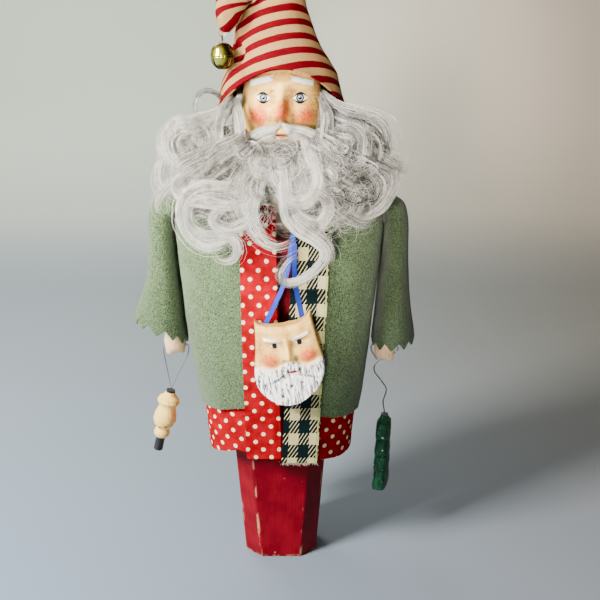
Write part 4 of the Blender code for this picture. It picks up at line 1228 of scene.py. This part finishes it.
def make_bell(brass, thread):
    bell_cup("bell_upper_pressed", 1, "bell_cup_upper", brass)
    bell_cup("bell_lower_pressed", -1, "bell_cup_lower", brass)
    eye = Vector((-32, -15, 335.75))
    turns = [math.tau * i / 12 for i in range(12)]
    ring = [eye + Vector((0, 1.5 * math.cos(turn), 1.5 * math.sin(turn))) for turn in turns]
    loop = tube("bell_eye_wire", ring, 0.38, brass, "bell", cyclic=True)
    stands_for(loop, "brass", "bell_eye")
    for i in range(4):
        lean = 0.5 * (i - 1.5)
        top = Vector((-31.8 + lean * 0.7, -15 + 0.3 * i - 0.5, 340.2))
        foot = eye + Vector((0.1 * lean, 0, 0.5))
        points = [top + Vector((-0.3, 0, 0)), top.lerp(foot, 0.35) + Vector((-1.5 + lean, -0.5, 0))]
        points += [foot + Vector((-0.7, -0.2, 0.4)), foot, foot + Vector((0.7, 0.2, 0.4))]
        points += [top.lerp(foot, 0.35) + Vector((1.5 + lean, 0.5, 0)), top + Vector((0.5, 0, 0))]
        strand = tube(f"bell_thread_{i}", points, 0.34, thread[i % 2], "figure")
        if i == 0:
            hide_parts("bell_thread")


# ---- hands and arms

LEAN = math.radians(5)


def arm_point(sign, out, forward, down):
    """A point in millimetres in an arm's own frame: out from the body, forward, down the hanging arm."""
    x = 72 + math.cos(LEAN) * out - math.sin(LEAN) * down
    return Vector((sign * x, -forward, 228 - math.sin(LEAN) * out - math.cos(LEAN) * down))


def make_hand(side, sign, mat):
    """A simple carved hand: a mitten of four shallow finger grooves, and a thumb in front."""
    lobes = [(0, 0, 75, 5.6, 5.8, 5.5), (0, 0, 80.5, 6.9, 7.4, 6.6), (-0.5, 6.0, 79, 2.3, 2.6, 4.4)]
    reach = 90.6 if side == "right" else 86.2
    lobes += [(3.2 * (i - 1.5), -0.4 + 0.4 * (i % 2), reach, 2.1, 5.4, 4.6) for i in range(4)]
    lobes += [(0, 0, reach - 2.4, 6.2, 6.6, 5.4)]
    mesh = bpy.data.metaballs.new(f"hand_{side}_clay")
    mesh.resolution = 0.6 * MM
    mesh.threshold = 0.08
    for out, forward, down, a, b, c in lobes:
        ball = mesh.elements.new(type="ELLIPSOID")
        ball.co = arm_point(sign, 3 + out, forward, down) * MM
        ball.size_x, ball.size_y, ball.size_z = 1, b / a, c / a
        ball.radius = a * 1.3 * MM
        ball.stiffness = 6
    source = bpy.data.objects.new(f"hand_{side}_clay", mesh)
    bpy.context.scene.collection.objects.link(source)
    bpy.context.view_layer.update()
    made = bpy.data.meshes.new_from_object(source.evaluated_get(bpy.context.evaluated_depsgraph_get()))
    bpy.data.objects.remove(source)
    made.name = f"hand_{side}_carved"
    made.materials.clear()
    obj = new_object(made.name, made, mat, f"{side}_arm")
    made.shade_smooth()
    bevel = obj.modifiers.new("soft", "SMOOTH")
    bevel.iterations = 3
    apply_modifiers(obj)
    stands_for(obj, "raw_wood", f"hand_{side}")


# ---- the tree toy

# share of a tier's height, and how far it swells there
TIER = [(0, 0.8), (0.06, 0.96), (0.2, 1.0), (0.45, 0.94), (0.7, 0.86), (0.9, 0.79), (0.99, 0.72)]

def make_tree(mat):
    """A small fir tree carved in four stepped tiers, its corners worn round."""
    tiers = [(0, 12.5), (13.9, 11.2), (23.9, 9.8), (34.3, 8.2)]
    crown = 51
    rows = []
    for (low, spread), (high, _) in zip(tiers, tiers[1:] + [(crown, 0)]):
        last = high == crown
        for share, swell in TIER:
            tip = 0.55 if last and share > 0.8 else 1
            rows.append((low + (high - low) * share, 4.7 * (0.55 + 0.45 * swell) * tip, spread * swell * tip))
    columns = 40
    turn = Matrix.Rotation(math.radians(1.8), 4, "Y") @ Matrix.Rotation(math.radians(-14), 4, "Z")
    place = Matrix.Translation((67, 0, 44)) @ turn
    verts = []
    for z, across, deep in rows:
        for c in range(columns):
            angle = math.tau * c / columns
            cos, sin = math.cos(angle), math.sin(angle)
            wear = 1 + 0.03 * ripple(cos * 5, sin * 9, z, 5)
            x = across * wear * math.copysign(abs(cos) ** 0.5, cos)
            y = deep * wear * math.copysign(abs(sin) ** 0.6, sin)
            verts.append(place @ Vector((x, y, z)) * MM)
    top = (len(rows) - 1) * columns
    faces = [
        (low + c, low + (c + 1) % columns, low + columns + (c + 1) % columns, low + columns + c)
        for low in range(0, top, columns)
        for c in range(columns)
    ]
    faces += [tuple(range(columns))[::-1], tuple(range(top, top + columns))]
    piece = new_piece("tree_toy_carved", verts, faces, mat, "tree_toy", sharp=35)
    outward(piece)
    stands_for(piece, "green", "tree_toy_board")


# ---- hair


def lock(points, width, thick, count, shade, steps, wisps):
    """Strands that follow one lock, in wisps that part and cross: points are (x, y, z) in millimetres."""
    rough = smooth_rows(points, 8)
    lengths = np.append(0, np.linalg.norm(np.diff(rough, axis=0), axis=1).cumsum())
    total = lengths[-1]
    out, shades = [], []
    for w in range(wisps):
        seat = (w + DRAWS.random()) / wisps * 2 - 1
        depth_seat = DRAWS.gauss(0, 0.5)
        swing, phase, beat = DRAWS.uniform(0.1, 0.45), DRAWS.uniform(0, math.tau), DRAWS.uniform(2.5, 6)
        tone = DRAWS.gauss(shade, 0.2)
        reach = DRAWS.uniform(0.84, 1.0)
        for _ in range(max(1, count // wisps)):
            start = DRAWS.uniform(0, 0.08)
            end = min(1.0, reach * DRAWS.uniform(0.86, 1.04))
            share = np.linspace(start, end, steps)
            path = np.stack([np.interp(share * total, lengths, rough[:, k]) for k in range(3)], axis=1)
            way = np.gradient(path, axis=0)
            way /= np.maximum(np.linalg.norm(way, axis=1, keepdims=True), 1e-9)
            across = np.cross(way, np.array([0, 1, 0.05]))
            across /= np.maximum(np.linalg.norm(across, axis=1, keepdims=True), 1e-9)
            deep = np.cross(across, way)
            full = (0.4 + 0.6 * np.sin(np.minimum(1, share * 2.2) * math.pi / 2)) * (1 - 0.5 * share**3)
            stray = DRAWS.gauss(0, 0.9) * share**1.5 if DRAWS.random() < 0.14 else 0
            wave = swing * np.sin(share * beat + phase) * (0.2 + share) + stray
            crimp = 0.05 * np.sin(share * total * 0.5 + DRAWS.uniform(0, math.tau))
            side = 1.05 * width * (full * (seat * 0.85 + DRAWS.gauss(0, 0.06)) + wave + crimp)
            depth = thick * full * (depth_seat + DRAWS.gauss(0, 0.35)) + width * wave * 0.3
            out.append(path + across * side[:, None] + deep * depth[:, None])
            shades.append(min(1, max(0, tone + DRAWS.gauss(0, 0.2))))
    return out, shades


def curl(centre, radius, start, sweep, rise=0.0, shrink=0.0, steps=9):
    """Points round a curl in the XZ plane: angles in degrees, counter-clockwise as seen from the front."""
    points = []
    for i in range(steps):
        t = i / (steps - 1)
        turn = math.radians(start + sweep * t)
        r = radius * (1 - shrink * t)
        points.append((centre[0] + r * math.cos(turn), centre[1] + rise * t, centre[2] + r * math.sin(turn)))
    return points


LOCKS = [  # the locks that show one by one: points, half width, half thickness, strands, tone with painted shade
    # left: the big spiral beside the cheek, and the locks that fall over and under it
    ([(-24, -22, 302), (-34, -34, 295), (-44, -42, 292)] + curl((-51, -47, 279), 12.5, 75, 330, -4, 0.5),
     5.0, 2.6, 420, 0.95),
    ([(-28, -36, 292), (-38, -42, 288)] + curl((-52, -45, 276), 12.5, 15, 255, 2, 0.1), 4.6, 2.6, 260, 0.7),
    ([(-24, -22, 303), (-23.5, -31, 298), (-21.5, -37, 288), (-21, -43, 278), (-25, -47, 271),
     (-31, -46, 274)], 3.2, 1.8, 260, 0.95),
    ([(-22, -18, 305), (-23.5, -25, 297), (-24, -29, 288), (-24, -33, 279)], 3.0, 1.4, 170, 0.55),
    ([(25.5, -17, 305), (26.5, -24, 297), (27, -28, 288), (27, -33, 279)], 3.0, 1.4, 170, 0.5),
    ([(-26, -20, 303), (-29, -34, 299), (-33, -41, 290), (-32, -45, 280), (-27, -47, 272), (-22, -48, 276)],
     3.8, 2.0, 230, 0.7),
    ([(-26, -14, 302), (-32, -26, 296), (-38, -36, 284), (-40, -42, 272), (-34, -47, 262), (-24, -50, 260)],
     4.4, 2.2, 240, 0.6),
    # left: the S-shaped sweep under the spiral
    ([(-20, -44, 276), (-36, -49, 271), (-50, -52, 262), (-56, -53, 257), (-50, -55, 251), (-38, -57, 248)]
     + [(-28, -58, 246), (-20, -58, 249), (-13, -57, 256)], 4.4, 2.2, 380, 0.85),
    ([(-30, -46, 270), (-46, -49, 264), (-58, -50, 258), (-66, -50, 250), (-68, -49, 243), (-64, -48, 238)],
     3.0, 1.6, 150, 0.75),
    ([(-36, -30, 284), (-52, -36, 280), (-64, -40, 270), (-66, -42, 258), (-58, -46, 252), (-46, -50, 254)],
     4.6, 2.4, 260, 0.66),
    # lower left: the large C that ends in a loose curl
    ([(-14, -52, 257), (-29, -56, 257), (-43, -57, 257), (-52, -56, 250), (-54, -56, 240), (-50, -56, 230)]
     + [(-41, -58, 224), (-33, -60, 226), (-27, -60, 228), (-24, -59, 221)], 4.4, 2.0, 400, 0.95),
    ([(-28, -57, 253), (-42, -57, 252), (-50, -57, 245), (-50, -57, 236), (-43, -58, 230), (-33, -59, 229)]
     + curl((-30, -59, 221), 8, 80, -260, 0, 0.15), 3.4, 1.6, 230, 0.8),
    ([(-22, -56, 248), (-32, -58, 244), (-36, -58, 237), (-27, -59, 233), (-17, -59, 237), (-11, -58, 246)],
     3.4, 1.6, 220, 0.72),
    # middle: strands over the red cloth
    ([(-6, -42, 274), (-12, -50, 264), (-17, -55, 252), (-17, -57, 240), (-12, -59, 229), (-2, -60, 223)]
     + [(7, -60, 225), (13, -60, 231)], 3.4, 1.2, 190, 0.8),
    ([(-2, -44, 272), (-7, -52, 262), (-12, -57, 250), (-13, -58, 240), (-8, -60, 231), (0, -60, 227)],
     3.0, 1.0, 110, 0.7),
    ([(-14, -44, 270), (-20, -50, 262), (-22, -55, 252), (-20, -57, 242), (-14, -58, 238), (-8, -58, 244)],
     3.4, 1.6, 180, 0.75),
    # middle: the thick bright U and the lock beside it
    ([(14, -38, 284), (18, -48, 274), (23, -54, 264), (22, -58, 255), (15, -60, 249), (7, -60, 249.5),
     (3, -59, 255)] + [(2, -57, 262)], 4.4, 2.4, 460, 1.0),
    ([(-2, -38, 278), (2, -50, 271), (4, -55, 263), (5, -58, 254), (11, -60, 249)], 3.0, 1.6, 220, 0.95),
    ([(4, -44, 272), (6, -54, 262), (7, -58, 250), (14, -60, 240), (23, -60, 236)]
     + curl((20, -60, 246), 9.5, -60, 250, 0, 0.3), 3.2, 1.6, 280, 0.8),
    # middle: the long lock that loops over the ribbon
    ([(2, -52, 264), (3, -58, 252), (5, -60, 240), (12, -61, 232), (22, -61, 226), (27, -60, 219),
     (22, -59, 210)] + [(13, -58, 203), (5, -57, 201), (1, -57, 206), (5, -57, 214), (12, -58, 219)],
     3.0, 1.2, 270, 0.92),
    ([(6, -56, 252), (10, -60, 240), (20, -61, 232), (28, -61, 225), (30, -60, 216), (24, -59, 209)],
     3.4, 1.3, 200, 0.75),
    # right: from under the hat outwards
    ([(25, -18, 306), (33, -26, 299), (42, -32, 296), (54, -36, 293), (61, -38, 286), (60, -40, 277),
     (53, -42, 274)], 4.6, 2.6, 330, 0.6),
    ([(24, -22, 304), (29, -34, 294), (28, -42, 283), (31, -48, 275), (40, -50, 271), (47, -50, 274)]
     + curl((38, -49, 281), 10, -30, 220, 2, 0.2), 3.8, 2.2, 300, 0.8),
    ([(25, -20, 302), (34, -32, 292), (46, -38, 288), (56, -42, 280), (55, -46, 270), (44, -50, 264),
     (32, -52, 264)], 4.8, 2.4, 320, 0.6),
    ([(30, -40, 276), (42, -45, 271), (54, -47, 265), (60, -48, 256), (54, -50, 247), (44, -53, 246),
     (38, -54, 253)], 4.4, 2.2, 280, 0.62),
    ([(22, -40, 284), (27, -47, 276), (32, -52, 266), (40, -54, 258), (50, -53, 256), (58, -50, 262)],
     4.4, 2.0, 260, 0.7),
    # far right: the bright arc and the pointed tuft
    ([(50, -36, 270), (61, -40, 268), (67, -43, 261), (65, -47, 252), (58, -50, 243), (48, -53, 239.5),
     (39, -54, 242)] + [(35, -54, 250), (37, -53, 258)], 3.0, 1.6, 280, 1.0),
    ([(44, -40, 272), (54, -42, 272), (62, -43, 268), (69, -43, 264.5), (76, -42, 264)], 4.6, 2.2, 420, 0.75),
    ([(40, -50, 262), (45, -53, 252), (44, -55, 244), (37, -57, 238), (29, -58, 240)], 3.6, 1.6, 200, 0.72),
    ([(24, -52, 262), (30, -57, 250), (38, -58, 241), (49, -57, 236), (56, -55, 241)], 3.8, 1.6, 200, 0.66),
    # small curl behind the left side of the hat
    ([(-30, -6, 296), (-36, -14, 304), (-43, -18, 306), (-48, -20, 301), (-47, -22, 293), (-41, -22, 290)],
     1.8, 1.1, 60, 0.3),
]


MASSES = [  # dense hair: centre, radii, the CAD nodes that it stands for
    ("beard_mass", (3, -39, 266), (29, 11.5, 12.5), ("beard",)),
    ("hair_left_mass", (-37, -23, 270), (20, 20, 17), ("hair_left",)),
    ("hair_right_mass", (41, -23, 269), (20, 20, 17), ("hair_right",)),
    ("beard_left_mass", (-33, -44, 251), (18, 9, 10), ()),
    ("beard_right_mass", (33, -45, 251), (20, 9, 9.5), ()),
    ("hair_back_mass", (2, 18, 272), (30, 16, 26), ("hair_back",)),
]


def hair_masses(mat):
    """The dense hair that the loose locks lie on: lumpy closed masses."""
    for name, centre, radii, nodes in MASSES:
        bm = bmesh.new()
        bmesh.ops.create_icosphere(bm, subdivisions=5, radius=1)
        for v in bm.verts:
            unit = v.co.copy()
            lump = 1 + 0.16 * noise.noise(unit * 2.6 + Vector(centre)) + 0.07 * noise.noise(unit * 7)
            v.co = Vector([(c + r * u * lump) * MM for c, r, u in zip(centre, radii, unit)])
        mesh = bpy.data.meshes.new(name)
        bm.to_mesh(mesh)
        bm.free()
        mesh.shade_smooth()
        stands_for(new_object(name, mesh, mat, "figure"), "mohair", *nodes)


def surface_curls(count):
    """Short curled wisps that lie on the dense masses and hide them."""
    out = []
    for i in range(count):
        _, centre, radii, _ = MASSES[i % len(MASSES)]
        aim = Vector([DRAWS.gauss(0, 1) for _ in range(3)]).normalized()
        if centre[1] < 0 and aim.y > 0.3:
            aim.y *= -1
        at = Vector([c + r * a for c, r, a in zip(centre, radii, aim)])
        out_way = Vector([a / r for a, r in zip(aim, radii)]).normalized()
        if (at.x - FACE_X) ** 2 + at.y**2 < 25**2 and at.z > 279:
            continue
        if -9 < at.x < 3 and at.z < 257 and at.y < -30:
            continue
        first = out_way.cross(Vector((DRAWS.gauss(0, 0.5), DRAWS.gauss(0, 0.5), 1))).normalized()
        second = out_way.cross(first)
        radius = DRAWS.uniform(4, 10)
        sweep = DRAWS.choice((-1, 1)) * DRAWS.uniform(2.2, 5.2)
        begin = DRAWS.uniform(0, math.tau)
        points = []
        for k in range(7):
            t = k / 6
            turn, r = begin + sweep * t, radius * (1 - 0.35 * t)
            lift = out_way * (0.4 + 3.4 * t * DRAWS.uniform(0.8, 1.2))
            points.append(tuple(at + first * r * math.cos(turn) + second * r * math.sin(turn) + lift))
        # low tones: painted shade, so these curls read as the hair's depths under the shown locks
        out.append((points, DRAWS.uniform(1.4, 3.0), 0.8, 36, DRAWS.uniform(0.2, 0.62)))
    return out


def frizz(count, regions, steps=11):
    """Loose arcs of single hairs in ellipsoid regions: (centre, radii, share, tone with painted shade)."""
    out, shades = [], []
    for centre, radii, share, shade in regions:
        for _ in range(int(count * share)):
            seat = Vector([DRAWS.gauss(0, 0.55) for _ in range(3)])
            if seat.length > 1.15:
                seat *= 1.15 / seat.length
            middle = Vector([c + r * s for c, r, s in zip(centre, radii, seat)])
            radius = DRAWS.uniform(3, 13)
            start = DRAWS.uniform(0, math.tau)
            sweep = DRAWS.choice((-1, 1)) * DRAWS.uniform(1.2, 4.0)
            tilt = Matrix.Rotation(DRAWS.gauss(0, 0.6), 3, "X") @ Matrix.Rotation(DRAWS.gauss(0, 0.6), 3, "Z")
            turns = [start + sweep * i / (steps - 1) for i in range(steps)]
            out.append(np.array([
                middle + tilt @ Vector((radius * math.cos(turn), 0.25 * i - 1, radius * math.sin(turn) * 0.85))
                for i, turn in enumerate(turns)
            ]))
            shades.append(min(1, max(0, DRAWS.gauss(shade, 0.2))))
    return out, shades


def back_locks():
    """Wavy locks that fall from under the hat round the sides and back, each ending in a curl."""
    out = []
    for i in range(46):
        turn = math.radians(-26 + 232 * i / 45 + DRAWS.uniform(-3, 3))
        cos, sin = math.cos(turn), math.sin(turn)
        lift = DRAWS.uniform(-2, 3)
        spread = DRAWS.uniform(4, 13) + 8 * abs(cos)
        low = 252 + DRAWS.uniform(-6, 8) + 6 * abs(cos)
        points = [(2 + 25 * cos, 3 + 25 * sin, 299 + lift), (2 + 30 * cos, 4 + 29 * sin, 290 + lift)]
        points.append((2 + (31 + spread * 0.5) * cos, 4 + (30 + spread * 0.4) * sin, 277 + lift))
        points.append((2 + (31 + spread) * cos, 4 + (30 + spread * 0.6) * sin, 264 + lift))
        way = DRAWS.choice((-1, 1))
        base = Vector((2 + (31 + spread) * cos, 4 + (31 + spread * 0.6) * sin, low))
        for k in range(1, 7):
            a = k / 6 * math.radians(300)
            r = 6 - 3 * k / 6
            swing = way * r * math.sin(a)
            points.append(tuple(base + Vector((-sin * swing, cos * swing, 2 - r * (1 - math.cos(a))))))
        out.append((points, DRAWS.uniform(3.2, 5.2), DRAWS.uniform(1.4, 2.2), 100, DRAWS.uniform(0.5, 0.85)))
    return out


def moustache_locks():
    """Two sweeps from under the nose, thick over the lip and thinning to the sides."""
    out = []
    for sign, reach in ((-1, 19), (1, 22)):
        for k in range(8):
            drop = k * 0.7
            start = 2.2 + sign * (0.1 + 0.55 * k)
            root = (start - sign * 1.7, -36.0 + 0.1 * k, 290.8 - 0.75 * k)
            lip = (start + sign * 2.2, -38.6, 288.8 - 0.85 * k)
            middle = (2.2 + sign * reach * 0.6, -37.6, 286.4 - drop * 1.1)
            far = (2.2 + sign * reach * 0.95, -36, 282.6 - drop * 1.5)
            tip = (2.2 + sign * (reach + 5), -37, 277.4 - drop * 1.6)
            out.append(([root, lip, middle, far, tip], 1.6, 0.8, 100, 0.95 - 0.04 * k))
    return out


def beard_locks():
    """Short wavy locks that fan out from the lip and the cheeks and hide the dense hair."""
    out = []
    for _ in range(120):
        x = DRAWS.uniform(-23, 27)
        edge = min(1, abs(x - 2) / 25)
        root = (x * 0.95, -30 - 6 * (1 - edge), 276.5 + 13 * edge**2 + DRAWS.uniform(-2, 1))
        lean = (x - 2) / 25
        length = DRAWS.uniform(9, 32)
        fan = lean * DRAWS.uniform(0.5, 1.6) + DRAWS.gauss(0, 0.12)
        tip = (root[0] + fan * length * 0.9, -49 - length * 0.25, root[2] - length * (0.9 - 0.4 * abs(lean)))
        if -9 < tip[0] < 3 and tip[2] < 258:
            continue
        middle = (root[0] + fan * length * 0.3, -44 - 3 * (1 - edge), root[2] - length * 0.3)
        way = DRAWS.choice((-1, 1))
        hook = (tip[0] + way * 4, tip[1] - 1, tip[2] - 4)
        end = (tip[0] + way * 7, tip[1], tip[2] + 2)
        # tones lower than the shown locks: painted shade in the beard's depths
        width, thick, shade = DRAWS.uniform(2.2, 4), DRAWS.uniform(0.8, 1.6), DRAWS.uniform(0.35, 0.78)
        out.append(([root, middle, tip, hook, end], width, thick, 48, shade))
    return out


def make_hair(core, pale):
    hair_masses(core)
    groups = [  # name, locks, strand radius, points to a strand, wisps to a lock
        ("hair_shown", LOCKS, 0.075, 24, 18),
        ("hair_back_locks", back_locks(), 0.12, 15, 8),
        ("hair_beard", beard_locks(), 0.085, 13, 7),
        ("moustache_hair", moustache_locks(), 0.085, 13, 6),
        ("hair_surface", surface_curls(420), 0.085, 12, 5),
    ]
    for name, locks, radius, steps, wisps in groups:
        paths, shades = [], []
        for points, width, thick, count, shade in locks:
            # locks right of the face are darkened: painted shade on the side away from the key light
            right = max(0, min(1, (points[len(points) // 2][0] - 12) / 30))
            some, tones = lock(points, width, thick, int(count * 0.6), shade - 0.36 * right, steps, wisps)
            paths += some
            shades += tones
        limit = 190000 // (6 * steps)
        for part in range(math.ceil(len(paths) / limit)):
            chosen = slice(part * limit, (part + 1) * limit)
            bundle = np.array(paths[chosen]) * MM
            piece = strands(f"{name}_{part}", bundle, radius * MM, shades[chosen], pale, "figure")
            if name == "moustache_hair" and part == 0:
                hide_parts("moustache")
    # the right region's lower tone is painted shade
    regions = [
        ((-42, -38, 268), (18, 16, 18), 0.24, 0.6),
        ((44, -38, 266), (20, 16, 17), 0.24, 0.45),
        ((-32, -50, 244), (20, 8, 14), 0.14, 0.65),
        ((24, -52, 244), (24, 8, 14), 0.14, 0.6),
        ((2, -46, 264), (18, 8, 10), 0.12, 0.65),
        ((2, 26, 270), (34, 12, 22), 0.08, 0.6),
    ]
    paths, shades = frizz(3200, regions)
    piece = strands("hair_frizz", np.array(paths) * MM, 0.075 * MM, shades, pale, "figure")


# ---- stage


def make_floor():
    """A paper sweep under the figure and up behind it, with painted light: bright and bluish at the left, dark
    at the right, and brighter where it rises behind.
    """
    columns = [(-3, 0), (0.6, 0), (0.9, 0.04), (1.1, 0.2), (1.2, 0.5), (1.2, 3)]
    verts = [(x, y, z) for y, z in columns for x in (-4, 4)]
    faces = [(2 * i, 2 * i + 1, 2 * i + 3, 2 * i + 2) for i in range(len(columns) - 1)]
    mesh = bpy.data.meshes.new("floor")
    mesh.from_pydata(verts, [], faces)
    mesh.shade_smooth()
    paper = Material("floor_paper", 0.7)
    x, y, z = paper.place()
    # painted light: the paper's tone falls from left to right, and brightens up the rising back
    across = (x + y * -0.15).ramp(-420, 430)
    deep, rise = y.ramp(-250, 480), y.ramp(600, 1080)
    left = paper.mix(paper.mix((0.17, 0.27, 0.38), (0.21, 0.25, 0.275), deep), (0.56, 0.61, 0.5), rise)
    right = paper.mix(paper.mix((0.13, 0.13, 0.145), (0.105, 0.1, 0.078), deep), (0.42, 0.34, 0.25), rise)
    tone = paper.mix(left, right, across)
    paper.colour(paper.mix(tone, (0.26, 0.27, 0.27), paper.noise(300, 1) * 0.2))
    new_object("floor", mesh, paper.data, None)


def make_world():
    """Pale light from the left, falling off to a dark warm room at the right."""
    world = bpy.data.worlds.new("studio")
    bpy.context.scene.world = world
    world.use_nodes = True
    nodes, links = world.node_tree.nodes, world.node_tree.links
    where = nodes.new("ShaderNodeTexCoord")
    axes = nodes.new("ShaderNodeSeparateXYZ")
    links.new(where.outputs["Generated"], axes.inputs[0])
    ramp = nodes.new("ShaderNodeValToRGB")
    ramp.color_ramp.elements[0].position, ramp.color_ramp.elements[0].color = 0.1, (0.98, 1.0, 1.0, 1)
    ramp.color_ramp.elements[1].position, ramp.color_ramp.elements[1].color = 0.75, (0.1, 0.085, 0.066, 1)
    spread = nodes.new("ShaderNodeMapRange")
    spread.inputs["From Min"].default_value = -1
    links.new(axes.outputs["X"], spread.inputs["Value"])
    links.new(spread.outputs["Result"], ramp.inputs["Fac"])
    links.new(ramp.outputs["Color"], nodes["Background"].inputs["Color"])
    nodes["Background"].inputs["Strength"].default_value = 1.0


def make_lights():
    """A soft key light from the upper left, a narrow weak one on the face, and a weak one behind."""
    target = Vector((0, 0, 0.24))
    for name, place, size, power, colour in (
        ("key", (-0.84, -0.66, 0.86), 0.3, 43, (1, 0.98, 0.95)),
        ("face", (-0.2, -0.95, 0.34), 0.24, 0.55, (1, 0.93, 0.84)),
        ("back", (-0.6, 0.9, 1.1), 0.6, 8, (0.96, 0.98, 1)),
    ):
        light = bpy.data.lights.new(name, "AREA")
        light.size = size
        light.energy = power
        light.color = colour
        light.spread = math.radians(14 if name == "face" else 150)
        lamp = bpy.data.objects.new(name, light)
        lamp.location = place
        aim = target + Vector((0, 0, 0.05 if name == "face" else 0)) - Vector(place)
        lamp.rotation_euler = aim.to_track_quat("-Z", "Y").to_euler()
        bpy.context.scene.collection.objects.link(lamp)


def make_camera():
    """A view 17 degrees down, from 0.61 m in front of the post."""
    camera = bpy.data.cameras.new("camera")
    camera.lens = 60
    camera.sensor_width = 36
    eye = bpy.data.objects.new("camera", camera)
    eye.location = (0.0128, -0.61, 0.36)
    eye.rotation_euler = (math.radians(90 - 17), 0, 0)
    bpy.context.scene.collection.objects.link(eye)
    bpy.context.scene.camera = eye


def repaint(node, mat):
    """Gives a CAD node that keeps its shape a better material."""
    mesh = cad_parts[node].data
    mesh.materials.clear()
    mesh.materials.append(mat)


def main():
    for make in (make_floor, make_world, make_lights, make_camera):
        make()
    felt_cloth, cotton, check = felt(depth=0.68), dotted(), plaid()
    # the right sleeve's felt is a darker copy: painted shade, as that sleeve lies in shadow away from the
    # light
    shaded_felt = felt("felt_sleeve_right", 0.34)
    thread = bare_wood("red_thread", (150, 12, 24), (96, 6, 14), roughness=0.8)
    pale_thread = bare_wood("pale_thread", (232, 222, 190), (150, 160, 130), roughness=0.8)
    wood = bare_wood("carved_wood", (236, 204, 160), (204, 158, 112))
    steel = metal("dull_wire", (120, 122, 128), 0.4, 0.6)
    brass = tarnished_brass()

    make_coat(felt_cloth)
    make_robe(cotton)
    make_strips(cotton, check, thread, pale_thread)
    make_ribbons(satin())
    make_head(head_paint())
    make_mask(mask_paint())
    make_hat(striped())
    fibre = bare_wood("fibre", (240, 238, 232), (214, 210, 204), (1, 1, 1), 0.9)
    make_stuffing(fibre)
    make_bell(brass, (bare_wood("brown_thread", (150, 122, 104), (92, 66, 54), roughness=0.8), pale_thread))
    for side, sign in (("left", -1), ("right", 1)):
        make_sleeve(side, sign, felt_cloth if sign < 0 else shaded_felt)
        make_hand(side, sign, wood)
    make_tree(tree_paint())
    make_hair(hair_core(), mohair("mohair", (46, 41, 33), (234, 230, 218)))

    red_paint = glossy_paint("arm_paint", (168, 22, 32), (120, 10, 20))
    black = glossy_paint("peg_black", (34, 32, 34), (10, 10, 12))
    for mat, nodes in (
        (post_paint(), ("body_post",)),
        (wood, ("shoulder_yoke", "neck_dowel", "shoulder_spacer_left", "shoulder_spacer_right")),
        (steel, ("yoke_screw_left", "yoke_screw_right", "shoulder_screw_left", "shoulder_screw_right")),
        (steel, ("bell_pellet", "peg_toy_wire", "tree_toy_wire")),
        (red_paint, ("arm_left", "arm_right")),
        (peg_paint(), ("peg_toy_body",)),
        (black, ("peg_toy_cap", "peg_toy_disc")),
    ):
        for node in nodes:
            repaint(node, mat)


main()
